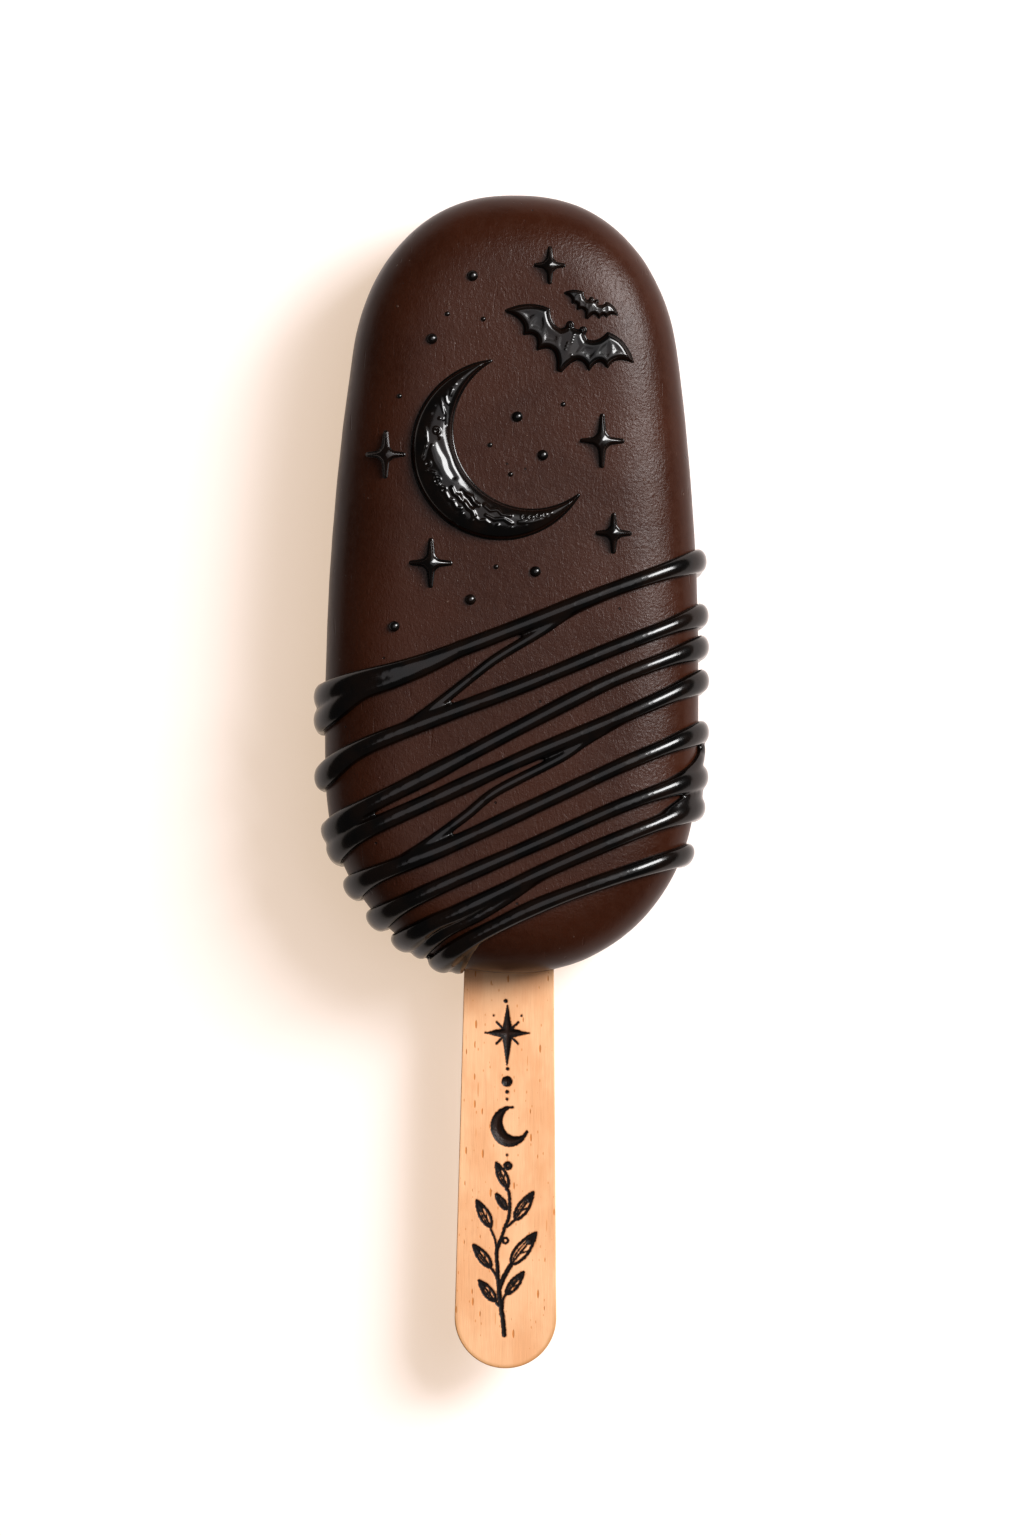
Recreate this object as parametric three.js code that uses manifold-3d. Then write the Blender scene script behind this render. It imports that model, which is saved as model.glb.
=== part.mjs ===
// A cakesicle lying on its flat back: a cake bar in a dark shell, drizzled strands and dots on it, a moulded
// crescent moon, two bats and five stars on its face, and a flat wooden stick. All sizes are in millimetres.
// X runs across the bar, +Y from the stick to the round top, and +Z up out of the decorated face.
// The origin is on the flat back, on the bar's centre line at mid-length.
import * as THREE from "three";
import { mergeVertices } from "three/addons/utils/BufferGeometryUtils.js";
import Module from "manifold-3d";

// Bar outline: half its width at mid-length, how much it narrows towards the top and towards both ends,
// and the length and roundness of the two rounded ends (2 is an ellipse, more is squarer).
const BAR_LENGTH = 96;
const HALF_LENGTH = BAR_LENGTH / 2;
const MID_HALF_WIDTH = 22.69;
const TOP_TAPER = 2.3;
const END_TAPER = 3.66;
const TOP_END = { length: 20.2, roundness: 2.43 };
const STICK_END = { length: 24.3, roundness: 2.23 };

// Bar section: the widest level, the round shoulder above it, the crown of the face and the small back edge.
const BAR_THICKNESS = 23;
const WIDEST_Z = 14.5;
const SHOULDER_REACH = 7;
const FACE_CROWN = 1;
const SHOULDER_RISE = BAR_THICKNESS - FACE_CROWN - WIDEST_Z;
const CROWN_HALF = { x: 20, y: 46 };
const BACK_EDGE = 2.2;
const SIDE_DRAFT = 0.6;
const SPINE_HALF = 24; // half length of the line that the face's rings draw in to
const BAR_SIDES = 64;

// Stick: a flat paddle that widens a little towards its round outer end.
const STICK_THICKNESS = 2;
const STICK_MID_Z = 10;
const STICK_TIP_Y = -97;
const STICK_INNER_Y = 17;
const STICK_WIDTH_AT_BAR = 11.1;
const STICK_WIDTH_AT_TIP = 12.8;
const STICK_BEVEL = 0.35;

// Free space kept between two pieces that touch.
const GAP = 0.3;

// Drizzle: each strand has a width and runs from its right end to its left end through these points on the
// face. A point past the outline carries the strand over the edge and down the side.
const BEAD = 2.05;
const THIN_BEAD = 1.35;
const STRANDS = [
  [BEAD, [23.6, 3.5], [12.5, -0.55], [1, -5.2], [-10.5, -9.7], [-19.5, -12.4], [-24, -14.7]],
  [BEAD, [-5.2, -7.5], [-10.5, -10.2], [-15, -12.2], [-18.8, -13.7], [-24, -17.8]],
  [THIN_BEAD, [8.5, -2.6], [3.6, -5.9], [-4.7, -11.3], [-11.3, -15.3], [-17.5, -19.2]],
  [BEAD, [23.8, -3.2], [12.5, -7.8], [1.2, -12.6], [-9.6, -16.8], [-18.7, -20.7], [-23.4, -24.6]],
  [BEAD, [24, -7.1], [12.5, -11.7], [1.5, -17.4], [-9, -23.1], [-19.1, -28.5], [-22.6, -31.6]],
  [BEAD, [24, -11.2], [13, -16.4], [2, -21.2], [-9, -26.4], [-19.1, -31.3], [-21.8, -34]],
  [THIN_BEAD, [12.5, -17.3], [6.2, -21.3], [-0.5, -24.8], [-7.7, -29.3], [-15, -34.6]],
  [BEAD, [24, -17.6], [14, -22], [3, -27.3], [-7.7, -32.4], [-17.2, -36.3], [-20.3, -38.9]],
  [THIN_BEAD, [23, -19.4], [22.9, -21.4], [21.6, -23.2], [17.6, -25.3]],
  [BEAD, [23.2, -23.5], [14, -27], [3.5, -31.8], [-7.5, -36.8], [-13.3, -39.6], [-17.3, -42.2]],
  [THIN_BEAD, [24, -24.9], [21.5, -26.4], [17.6, -29.3]],
  [BEAD, [23.6, -26.9], [14, -30.9], [4, -35.4], [-5.8, -40.2], [-9.5, -41.8], [-14.2, -44.9]],
  [THIN_BEAD, [3.5, -36.4], [-0.1, -38.7], [-3.9, -41], [-7.6, -42.8], [-11.6, -45.8]],
  [BEAD, [22.3, -32.7], [13.9, -35.5], [4.5, -39.1], [-2, -42.2], [-5.7, -44.3], [-8.8, -46.9]],
  [THIN_BEAD, [-3.2, -43], [-5.2, -45.2], [-6.9, -48.2]],
];
const BEAD_LIFT = 0.2; // height of the bead's middle above the skin, as a share of its width
const EDGE_SWELL = 0.45; // how much wider a bead is where it turns over the edge
const EDGE_SWELL_REACH = 3;
const SIDE_LEAN = 0.2; // how far a strand leans towards the stick for each millimetre down the side
const STRAND_END_Z = [1.6, 3.6, 2.2, 4.4, 1.9, 2.9]; // height of the drips' ends, taken in turn
const BEAD_SECTION = [-10, 40, 90, 140, 190, 270]; // degrees round the bead, the last one buried in the skin
const BEAD_STEP = 3.8;
const BEAD_END = 0.75; // share of its size that a bead keeps at its end
const BEAD_TIP = 0.3; // how far the round tip stands out past that end, as a share of the width

// Small beads of glaze on the face: centre and radius.
const DOT = 0.66;
const FLECK = 0.3;
const DOT_LIFT = 0.25; // height of a dot's centre above the skin, as a share of its radius
const DOTS = [
  [-5.34, 37.76, DOT],
  [-10.26, 29.96, DOT],
  [0.33, 20.48, DOT],
  [3.51, 15.79, DOT],
  [2.75, 1.47, DOT],
  [-5.19, -2.04, DOT],
  [-14.54, -5.43, DOT],
  [-8.39, 33.05, FLECK],
  [-3.96, 32.45, FLECK],
  [-14.17, 22.88, FLECK],
  [-2.97, 16.98, FLECK],
  [-0.4, 13.4, FLECK],
  [5.96, 22.06, FLECK],
  [-2.07, 2.02, FLECK],
];

// Crescent moon: between an outer and an inner circle, domed, with a raised rim along the inner edge.
const MOON_OUTER = { x: -1.6, y: 16.4, radius: 11 };
const MOON_INNER = { x: 2.15, y: 18.9, radius: 9.85 };
const MOON_HEIGHT = 1.9;
const MOON_TIP_HEIGHT = 0.7;
const MOON_SECTION = [[0, 0.45], [0.07, 0.8], [0.18, 0.66], [0.5, 1], [0.8, 0.8], [1, 0.3]];
const MOON_STEPS = 28;
const MOON_TIP_TRIM = 0.02;

// Four-pointed stars: centre, half height and half width. A low power makes the arms thin.
const STARS = [
  { x: 4.12, y: 39.14, halfHeight: 2.2, halfWidth: 1.8 },
  { x: 10.76, y: 17.62, halfHeight: 3.2, halfWidth: 2.6 },
  { x: 12.29, y: 6.28, halfHeight: 2.33, halfWidth: 2.07 },
  { x: -15.83, y: 15.69, halfHeight: 2.8, halfWidth: 2.3 },
  { x: -10.13, y: 2.39, halfHeight: 2.9, halfWidth: 2.5 },
];
const STAR_POWER = 0.52;
const STAR_EDGE = 0.35;
const STAR_PEAK = 1.3;
const STAR_POINTS = 32;

// Bats: the same outline at two sizes, turned clockwise on the face.
const BAT_LARGE = { x: 6.63, y: 30.43, span: 16.76, turn: -21.3 };
const BAT_SMALL = { x: 9.24, y: 34.45, span: 6.9, turn: -21.9 };
const BAT_DRAWN_SPAN = 16.76;
const BAT_THICKNESS = 0.9;
const BAT_BEVEL = 0.2;
const BAT_CURVE_STEPS = 3;

const COLOURS = { shell: 0x3a2119, glaze: 0x15100e, wood: 0xefbd8d };

const wasm = await Module();
wasm.setup();

// A closed geometry as a solid that can be joined and cut.
function solidOf(geometry) {
  const bare = geometry.clone();
  bare.deleteAttribute("normal");
  bare.deleteAttribute("uv");
  const merged = mergeVertices(bare);
  const vertProperties = merged.attributes.position.array;
  const triVerts = new Uint32Array(merged.index.array);
  return new wasm.Manifold(new wasm.Mesh({ numProp: 3, vertProperties, triVerts }));
}

function geometryOf(solid) {
  const mesh = solid.getMesh();
  const geometry = new THREE.BufferGeometry();
  geometry.setAttribute("position", new THREE.BufferAttribute(mesh.vertProperties, 3));
  geometry.setIndex(new THREE.BufferAttribute(mesh.triVerts, 1));
  geometry.computeVertexNormals();
  return geometry;
}

function middleOf(ring) {
  const sum = ring.reduce((total, point) => total.add(point), new THREE.Vector3());
  return sum.divideScalar(ring.length);
}

// A closed surface through rings of points, shut at each end by a fan. The rings turn anticlockwise about
// the way from the first ring to the last.
function skin(rings, firstTip = middleOf(rings[0]), lastTip = middleOf(rings[rings.length - 1])) {
  const count = rings[0].length;
  const points = [...rings.flat(), firstTip, lastTip];
  const faces = [];
  const lastRing = (rings.length - 1) * count;
  for (let i = 0; i < count; i += 1) {
    const next = (i + 1) % count;
    for (let ring = 0; ring < lastRing; ring += count) {
      faces.push(ring + i, ring + next, ring + count + next);
      faces.push(ring + i, ring + count + next, ring + count + i);
    }
    faces.push(points.length - 2, next, i);
    faces.push(points.length - 1, lastRing + i, lastRing + next);
  }
  const geometry = new THREE.BufferGeometry().setFromPoints(points);
  geometry.setIndex(faces);
  return geometry;
}

// The outline's half width at a height along the bar.
function halfWidth(y) {
  const along = y / HALF_LENGTH;
  const straight = MID_HALF_WIDTH - TOP_TAPER * along - END_TAPER * along * along;
  const rounded = ({ length, roundness }, fromTip) => {
    const into = THREE.MathUtils.clamp((length - fromTip) / length, 0, 1);
    return (1 - into ** roundness) ** (1 / roundness);
  };
  return straight * rounded(TOP_END, HALF_LENGTH - y) * rounded(STICK_END, HALF_LENGTH + y);
}

// The outline as evenly spaced points, anticlockwise from the middle of the stick end.
function outlinePoints(count) {
  const sideSteps = 400;
  const side = [];
  for (let i = 0; i <= sideSteps; i += 1) {
    const y = -HALF_LENGTH * Math.cos((Math.PI * i) / sideSteps);
    side.push(new THREE.Vector2(halfWidth(y), y));
  }
  const otherSide = side.slice(1, -1).reverse().map((point) => new THREE.Vector2(-point.x, point.y));
  const path = new THREE.Path([...side, ...otherSide, side[0]]);
  const spaced = path.getSpacedPoints(count).slice(0, count);
  return spaced.map((point, i) => {
    const ahead = spaced[(i + 1) % count];
    const behind = spaced[(i + count - 1) % count];
    const along = ahead.clone().sub(behind).normalize();
    return { x: point.x, y: point.y, out: new THREE.Vector2(along.y, -along.x) };
  });
}

const OUTLINE = outlinePoints(720);
const OUTLINE_STEP = Math.hypot(OUTLINE[1].x - OUTLINE[0].x, OUTLINE[1].y - OUTLINE[0].y);

function nearestOnOutline(x, y) {
  let best = 0;
  let least = Infinity;
  OUTLINE.forEach((point, i) => {
    const distance = Math.hypot(point.x - x, point.y - y);
    if (distance < least) {
      least = distance;
      best = i;
    }
  });
  return best;
}

// How far a point of the plan lies inside the outline; it is negative outside.
function inset(x, y) {
  const near = OUTLINE[nearestOnOutline(x, y)];
  return (near.x - x) * near.out.x + (near.y - y) * near.out.y;
}

function crown(x, y) {
  return FACE_CROWN * (1 - Math.min(1, (x / CROWN_HALF.x) ** 2)) * (1 - Math.min(1, (y / CROWN_HALF.y) ** 2));
}

// The shoulder is a quarter ellipse from the widest level up to the face.
function shoulder(depth) {
  const left = 1 - THREE.MathUtils.clamp(depth / SHOULDER_REACH, 0, 1);
  return Math.sqrt(1 - left * left);
}

function faceHeight(x, y) {
  return WIDEST_Z + shoulder(inset(x, y)) * (SHOULDER_RISE + crown(x, y));
}

function faceNormal(x, y) {
  const step = 0.2;
  const slopeX = (faceHeight(x + step, y) - faceHeight(x - step, y)) / (2 * step);
  const slopeY = (faceHeight(x, y + step) - faceHeight(x, y - step)) / (2 * step);
  return new THREE.Vector3(-slopeX, -slopeY, 1).normalize();
}

// How far the side stands in from the outline at a level below the widest one.
function sideInset(z) {
  const draft = SIDE_DRAFT * (1 - z / WIDEST_Z);
  const below = THREE.MathUtils.clamp(1 - z / BACK_EDGE, 0, 1);
  return draft + BACK_EDGE * (1 - Math.sqrt(1 - below * below));
}

function makeBar() {
  const edge = outlinePoints(BAR_SIDES);
  const ringAt = (depth, height) =>
    edge.map((point) => {
      const x = point.x - point.out.x * depth;
      const y = point.y - point.out.y * depth;
      return new THREE.Vector3(x, y, height(x, y));
    });
  const rings = [];
  for (const level of [0, 0.2, 0.55, 1]) {
    const z = level * BACK_EDGE;
    rings.push(ringAt(sideInset(z), () => z));
  }
  for (const degrees of [0, 18, 36, 54, 72, 90]) {
    const angle = THREE.MathUtils.degToRad(degrees);
    const depth = SHOULDER_REACH * (1 - Math.cos(angle));
    rings.push(ringAt(depth, (x, y) => WIDEST_Z + Math.sin(angle) * (SHOULDER_RISE + crown(x, y))));
  }
  const faceRing = rings[rings.length - 1];
  for (const share of [0.35, 0.75]) {
    const inner = faceRing.map((point) => {
      const spineY = THREE.MathUtils.clamp(point.y, -SPINE_HALF, SPINE_HALF);
      const x = point.x * (1 - share);
      const y = THREE.MathUtils.lerp(point.y, spineY, share);
      return new THREE.Vector3(x, y, WIDEST_Z + SHOULDER_RISE + crown(x, y));
    });
    rings.push(inner);
  }
  return skin(rings);
}

// The way down the side from a place on the outline, leaning towards the stick.
function dripDown(place, endZ) {
  const steps = 12;
  const path = [];
  for (let i = 1; i <= steps; i += 1) {
    const drop = ((WIDEST_Z - endZ) * i) / steps;
    const shift = Math.round((-SIDE_LEAN * OUTLINE[place].out.x * drop) / OUTLINE_STEP);
    const point = OUTLINE[(place + shift + OUTLINE.length) % OUTLINE.length];
    const z = WIDEST_Z - drop;
    const depth = sideInset(z);
    path.push({
      at: new THREE.Vector3(point.x - point.out.x * depth, point.y - point.out.y * depth, z),
      normal: new THREE.Vector3(point.out.x, point.out.y, 0),
    });
  }
  return path;
}

// A strand's way over the skin, from its right end to its left end.
function strandPath(points, endZ) {
  const plan = new THREE.SplineCurve(points.map(([x, y]) => new THREE.Vector2(x, y)));
  const planSteps = 160;
  const onFace = plan.getSpacedPoints(planSteps).filter((point) => inset(point.x, point.y) > 0);
  const path = onFace.map(({ x, y }) => ({
    at: new THREE.Vector3(x, y, faceHeight(x, y)),
    normal: faceNormal(x, y),
  }));
  const overEdge = (end) => dripDown(nearestOnOutline(end.x, end.y), endZ);
  const startsOutside = inset(...points[0]) < 0;
  const endsOutside = inset(...points[points.length - 1]) < 0;
  if (startsOutside) path.unshift(...overEdge(onFace[0]).reverse());
  if (endsOutside) path.push(...overEdge(onFace[onFace.length - 1]));
  return path;
}

// The path's places at even steps of its length.
function evenSteps(path, step) {
  const lengths = [0];
  for (let i = 1; i < path.length; i += 1) {
    lengths.push(lengths[i - 1] + path[i].at.distanceTo(path[i - 1].at));
  }
  const total = lengths[lengths.length - 1];
  const count = Math.max(3, Math.round(total / step));
  const places = [];
  let i = 1;
  for (let k = 0; k <= count; k += 1) {
    const length = (total * k) / count;
    while (i < path.length - 1 && lengths[i] < length) i += 1;
    const share = (length - lengths[i - 1]) / (lengths[i] - lengths[i - 1]);
    const at = path[i - 1].at.clone().lerp(path[i].at, share);
    const normal = path[i - 1].normal.clone().lerp(path[i].normal, share).normalize();
    places.push({ at, normal });
  }
  return places;
}

// A rounded bead laid along the skin, a little wider where it turns over the edge, with round ends.
function makeStrand([width, ...points], index) {
  const endZ = STRAND_END_Z[index % STRAND_END_Z.length];
  const places = evenSteps(strandPath(points, endZ), BEAD_STEP);
  const last = places.length - 1;
  const rings = places.map(({ at, normal }, k) => {
    const along = places[Math.min(k + 1, last)].at.clone().sub(places[Math.max(k - 1, 0)].at).normalize();
    const side = normal.clone().cross(along).normalize();
    const depth = Math.max(0, inset(at.x, at.y));
    const swell = 1 + EDGE_SWELL * Math.exp(-((depth / EDGE_SWELL_REACH) ** 2));
    const size = 0.5 * width * (k === 0 || k === last ? BEAD_END : 1);
    const middle = at.clone().addScaledVector(normal, BEAD_LIFT * width);
    return BEAD_SECTION.map((degrees) => {
      const angle = THREE.MathUtils.degToRad(degrees);
      const point = middle.clone().addScaledVector(side, size * swell * Math.cos(angle));
      return point.addScaledVector(normal, size * Math.sin(angle));
    });
  });
  const tip = (end, inner) => {
    const way = places[end].at.clone().sub(places[inner].at).normalize();
    return middleOf(rings[end]).addScaledVector(way, BEAD_TIP * width);
  };
  return skin(rings, tip(0, 1), tip(last, last - 1));
}

function makeDot([x, y, radius]) {
  const isFleck = radius === FLECK;
  const round = isFleck ? new THREE.IcosahedronGeometry(radius) : new THREE.SphereGeometry(radius, 8, 5);
  return round.translate(x, y, faceHeight(x, y) + DOT_LIFT * radius);
}

// A bevel that is cut into the outline instead of growing out of it.
function bevelOf(size) {
  return { bevelThickness: size, bevelSize: size, bevelOffset: -size };
}

// Half the stick's width at a height along it.
function stickHalfWidth(y, extra) {
  const out = (STICK_TIP_Y - y) / (STICK_TIP_Y + HALF_LENGTH);
  return THREE.MathUtils.lerp(STICK_WIDTH_AT_TIP, STICK_WIDTH_AT_BAR, out) / 2 + extra;
}

function stickShape(extra) {
  const tipRadius = stickHalfWidth(STICK_TIP_Y, extra);
  const innerRadius = stickHalfWidth(STICK_INNER_Y, extra);
  const shape = new THREE.Shape();
  shape.absarc(0, STICK_TIP_Y - extra + tipRadius, tipRadius, Math.PI, 2 * Math.PI);
  shape.absarc(0, STICK_INNER_Y + extra - innerRadius, innerRadius, 0, Math.PI);
  shape.closePath();
  return shape;
}

function makeStick() {
  const depth = STICK_THICKNESS - 2 * STICK_BEVEL;
  const bevel = { bevelSegments: 1, ...bevelOf(STICK_BEVEL) };
  const geometry = new THREE.ExtrudeGeometry(stickShape(0), { depth, curveSegments: 12, ...bevel });
  return geometry.translate(0, 0, STICK_MID_Z - depth / 2);
}

function makeStickSlot() {
  const depth = STICK_THICKNESS + 2 * GAP;
  const flat = { depth, curveSegments: 10, bevelEnabled: false };
  return new THREE.ExtrudeGeometry(stickShape(GAP), flat).translate(0, 0, STICK_MID_Z - depth / 2);
}

// Lays a flat piece on the face: each of its points is lifted by the face's height there and the gap.
function laidOnFace(geometry) {
  const place = geometry.attributes.position;
  for (let i = 0; i < place.count; i += 1) {
    place.setZ(i, place.getZ(i) + faceHeight(place.getX(i), place.getY(i)) + GAP);
  }
  return geometry;
}

// The stretch of one of the moon's circles between the two tips, anticlockwise from the upper tip. The outer
// circle's stretch turns away from the other circle, and the inner one's turns towards it.
function moonArc(circle, other, turnsAway) {
  const apart = Math.hypot(other.x - circle.x, other.y - circle.y);
  const reach = (circle.radius ** 2 - other.radius ** 2 + apart ** 2) / (2 * apart);
  const toOther = Math.atan2(other.y - circle.y, other.x - circle.x);
  const opening = Math.acos(reach / circle.radius);
  const start = turnsAway ? toOther + opening : toOther - opening;
  const sweep = turnsAway ? 2 * Math.PI - 2 * opening : 2 * opening;
  return (share) => {
    const angle = start + sweep * share;
    const fromCentre = new THREE.Vector2(Math.cos(angle), Math.sin(angle)).multiplyScalar(circle.radius);
    return fromCentre.add(circle);
  };
}

function makeMoon() {
  const outerAt = moonArc(MOON_OUTER, MOON_INNER, true);
  const innerAt = moonArc(MOON_INNER, MOON_OUTER, false);
  const rings = [];
  for (let k = 0; k <= MOON_STEPS; k += 1) {
    const share = THREE.MathUtils.lerp(MOON_TIP_TRIM, 1 - MOON_TIP_TRIM, k / MOON_STEPS);
    const height = THREE.MathUtils.lerp(MOON_TIP_HEIGHT, MOON_HEIGHT, Math.sin(Math.PI * share));
    const place = (across, z) => {
      const point = innerAt(share).lerp(outerAt(share), across);
      return new THREE.Vector3(point.x, point.y, z);
    };
    const top = MOON_SECTION.map(([across, rise]) => place(across, rise * height));
    rings.push([...top, place(1, 0), place(0, 0)]);
  }
  return laidOnFace(skin(rings));
}

function makeStar({ x, y, halfHeight, halfWidth: halfAcross }) {
  const outlineAt = (z) =>
    Array.from({ length: STAR_POINTS }, (_, i) => {
      const angle = (2 * Math.PI * i) / STAR_POINTS;
      const cos = Math.cos(angle);
      const sin = Math.sin(angle);
      const reach = (Math.abs(cos) ** STAR_POWER + Math.abs(sin) ** STAR_POWER) ** (-1 / STAR_POWER);
      return new THREE.Vector3(x + halfAcross * reach * cos, y + halfHeight * reach * sin, z);
    });
  const peak = new THREE.Vector3(x, y, STAR_PEAK);
  return laidOnFace(skin([outlineAt(0), outlineAt(STAR_EDGE)], undefined, peak));
}

// Half a bat from the dip between its ears to its tail. Each scallop of the wing passes through a low point.
function batHalfOutline() {
  const half = new THREE.Path();
  const curveThrough = (passX, passY, endX, endY) => {
    const { x, y } = half.currentPoint;
    half.quadraticCurveTo(2 * passX - (x + endX) / 2, 2 * passY - (y + endY) / 2, endX, endY);
  };
  half.moveTo(0, 1.1);
  half.lineTo(0.45, 1.15);
  half.lineTo(1, 1.65);
  curveThrough(1.15, 0.8, 1.6, 0.35);
  curveThrough(3, 0.75, 3.9, 2.1);
  curveThrough(6.3, 1.65, 8.38, 0);
  curveThrough(6.35, -0.42, 5.5, -1.8);
  curveThrough(4.15, -1.5, 3.4, -2.95);
  curveThrough(1.6, -2.3, 0.25, -4.4);
  return half.getPoints(BAT_CURVE_STEPS);
}

function makeBat({ x, y, span, turn }) {
  const scale = span / BAT_DRAWN_SPAN;
  const right = batHalfOutline();
  const left = right.slice(1).reverse().map((point) => new THREE.Vector2(-point.x, point.y));
  const shape = new THREE.Shape([...right, ...left]);
  const depth = BAT_THICKNESS - 2 * BAT_BEVEL;
  const bevel = { bevelSegments: 1, ...bevelOf(BAT_BEVEL) };
  const geometry = new THREE.ExtrudeGeometry(shape, { depth, curveSegments: 1, ...bevel });
  geometry.scale(scale, scale, 1);
  geometry.rotateZ(THREE.MathUtils.degToRad(turn));
  return laidOnFace(geometry.translate(x, y, BAT_BEVEL));
}

// The largest body of a solid, without the small hollows that the beads close between them.
function mainBody(solid) {
  return solid.decompose().reduce((largest, body) => (body.volume() > largest.volume() ? body : largest));
}

function makeDecoratedBar() {
  const fused = [...STRANDS.map(makeStrand), ...DOTS.map(makeDot)];
  const solid = fused.reduce((sum, geometry) => sum.add(solidOf(geometry)), solidOf(makeBar()));
  return geometryOf(mainBody(solid.subtract(solidOf(makeStickSlot()))));
}

function piece(name, geometry, color, roughness) {
  const mesh = new THREE.Mesh(geometry, new THREE.MeshStandardMaterial({ color, roughness, metalness: 0 }));
  mesh.name = name;
  return mesh;
}

const cakesicle = new THREE.Group();
cakesicle.name = "cakesicle";
cakesicle.add(piece("bar", makeDecoratedBar(), COLOURS.shell, 0.4));
cakesicle.add(piece("stick", makeStick(), COLOURS.wood, 0.6));
const ornaments = new THREE.Group();
ornaments.add(piece("crescent_moon", makeMoon(), COLOURS.glaze, 0.2));
ornaments.add(piece("bat_large", makeBat(BAT_LARGE), COLOURS.glaze, 0.2));
ornaments.add(piece("bat_small", makeBat(BAT_SMALL), COLOURS.glaze, 0.2));
STARS.forEach((star, i) => ornaments.add(piece(`star_${i + 1}`, makeStar(star), COLOURS.glaze, 0.2)));
cakesicle.add(ornaments);

export default cakesicle;
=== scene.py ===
import math

import bmesh
import bpy
import numpy as np
from mathutils import Matrix, Vector, kdtree, noise


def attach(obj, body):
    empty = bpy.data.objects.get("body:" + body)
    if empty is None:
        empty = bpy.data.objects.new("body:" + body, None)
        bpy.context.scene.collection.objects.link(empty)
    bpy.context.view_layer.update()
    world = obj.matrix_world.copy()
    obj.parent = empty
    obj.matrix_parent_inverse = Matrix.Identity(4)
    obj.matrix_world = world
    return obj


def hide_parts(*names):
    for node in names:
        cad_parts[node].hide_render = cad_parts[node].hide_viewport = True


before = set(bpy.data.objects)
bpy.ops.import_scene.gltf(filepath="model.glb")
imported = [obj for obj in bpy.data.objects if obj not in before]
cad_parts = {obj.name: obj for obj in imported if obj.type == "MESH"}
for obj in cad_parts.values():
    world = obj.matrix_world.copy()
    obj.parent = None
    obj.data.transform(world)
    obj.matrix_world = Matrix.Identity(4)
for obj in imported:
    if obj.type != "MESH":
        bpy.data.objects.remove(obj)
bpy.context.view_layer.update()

MM = 0.001

# Bar outline: half width at mid-length, narrowing, and the two rounded ends.
HALF_LENGTH = 48.0
MID_HALF_WIDTH = 22.69
TOP_TAPER = 2.3
END_TAPER = 3.66
TOP_END = {"length": 20.2, "roundness": 2.43}
STICK_END = {"length": 24.3, "roundness": 2.23}
OUTLINE_LEVELS = 801
EDGE_POINTS = 1440

# Bar section: widest level, shoulder, crown of the face, back edge and the side's slope. The shoulder is
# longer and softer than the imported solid's, and stays within 0.35 mm of it.
WIDEST_Z = 14.5
SHOULDER_REACH = 10.0
SHOULDER_POWER = 2.4
SHOULDER_RISE = 7.5
FACE_CROWN = 1.0
CROWN_HALF = (20.0, 46.0)
BACK_EDGE = 2.2
SIDE_DRAFT = 0.6
SPINE_HALF = 24.0

# Stick
STICK_THICKNESS = 2.0
STICK_MID_Z = 10.0
STICK_TIP_Y = -97.0
STICK_INNER_Y = 17.0
STICK_WIDTH_AT_BAR = 11.1
STICK_WIDTH_AT_TIP = 12.8
STICK_EDGE = 0.12

# Drizzle: width of each strand and the points it runs through, from its right end to its left end.
BEAD = 2.05
THIN_BEAD = 1.35
STRANDS = [
    (BEAD, (23.6, 3.5), (12.5, -0.55), (1, -5.2), (-10.5, -9.7), (-19.5, -12.4), (-24, -14.7)),
    (BEAD, (-5.2, -7.5), (-10.5, -10.2), (-15, -12.2), (-18.8, -13.7), (-24, -17.8)),
    (THIN_BEAD, (13.5, -0.4), (7.5, -3.2), (3.6, -5.8), (-1.9, -9.2), (-5.2, -11.8), (-8.9, -14.8),
     (-12.9, -17.7), (-17, -19.9)),
    (BEAD, (23.8, -3.2), (12.5, -7.8), (1.2, -12.6), (-9.6, -16.8), (-18.7, -20.7), (-23.4, -24.6)),
    (BEAD, (24, -7.1), (12.5, -11.7), (1.5, -17.4), (-9, -23.1), (-19.1, -28.5), (-22.6, -31.6)),
    (BEAD, (24, -11.2), (13, -16.4), (2, -21.2), (-9, -26.4), (-19.1, -31.3), (-21.8, -34)),
    (THIN_BEAD, (15.5, -15.5), (9.2, -19.2), (6.2, -21.3), (-1.7, -25.5), (-5, -28.2), (-8, -30.5),
     (-11.2, -32.8), (-15.5, -35.5)),
    (BEAD, (24, -17.6), (14, -22), (3, -27.3), (-7.7, -32.4), (-17.2, -36.3), (-20.3, -38.9)),
    (THIN_BEAD, (23, -19.4), (22.9, -21.4), (21.6, -23.2), (17.6, -25.3)),
    (BEAD, (23.2, -23.5), (14, -27), (3.5, -31.8), (-7.5, -36.8), (-13.3, -39.6), (-17.3, -42.2)),
    (THIN_BEAD, (24, -24.9), (21.5, -26.4), (17.6, -29.3)),
    (BEAD, (23.6, -26.9), (14, -30.9), (4, -35.4), (-5.8, -40.2), (-9.5, -41.8), (-14.2, -44.9)),
    (THIN_BEAD, (6.5, -34.5), (3.3, -36.3), (-0.1, -38.7), (-3.9, -41), (-7.6, -42.8), (-11.6, -45.8)),
    (BEAD, (22.3, -32.7), (13.9, -35.5), (4.5, -39.1), (-2, -42.2), (-5.7, -44.3), (-8.8, -46.9)),
    (THIN_BEAD, (-3.2, -43), (-5.2, -45.2), (-6.9, -48.2)),
]
BEAD_LIFT = 0.2
EDGE_SWELL = 0.45  # the strands are wider near the outline by this share, which fades within the reach
EDGE_SWELL_REACH = 3.0
LEFT_SWELL = 0.16
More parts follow.
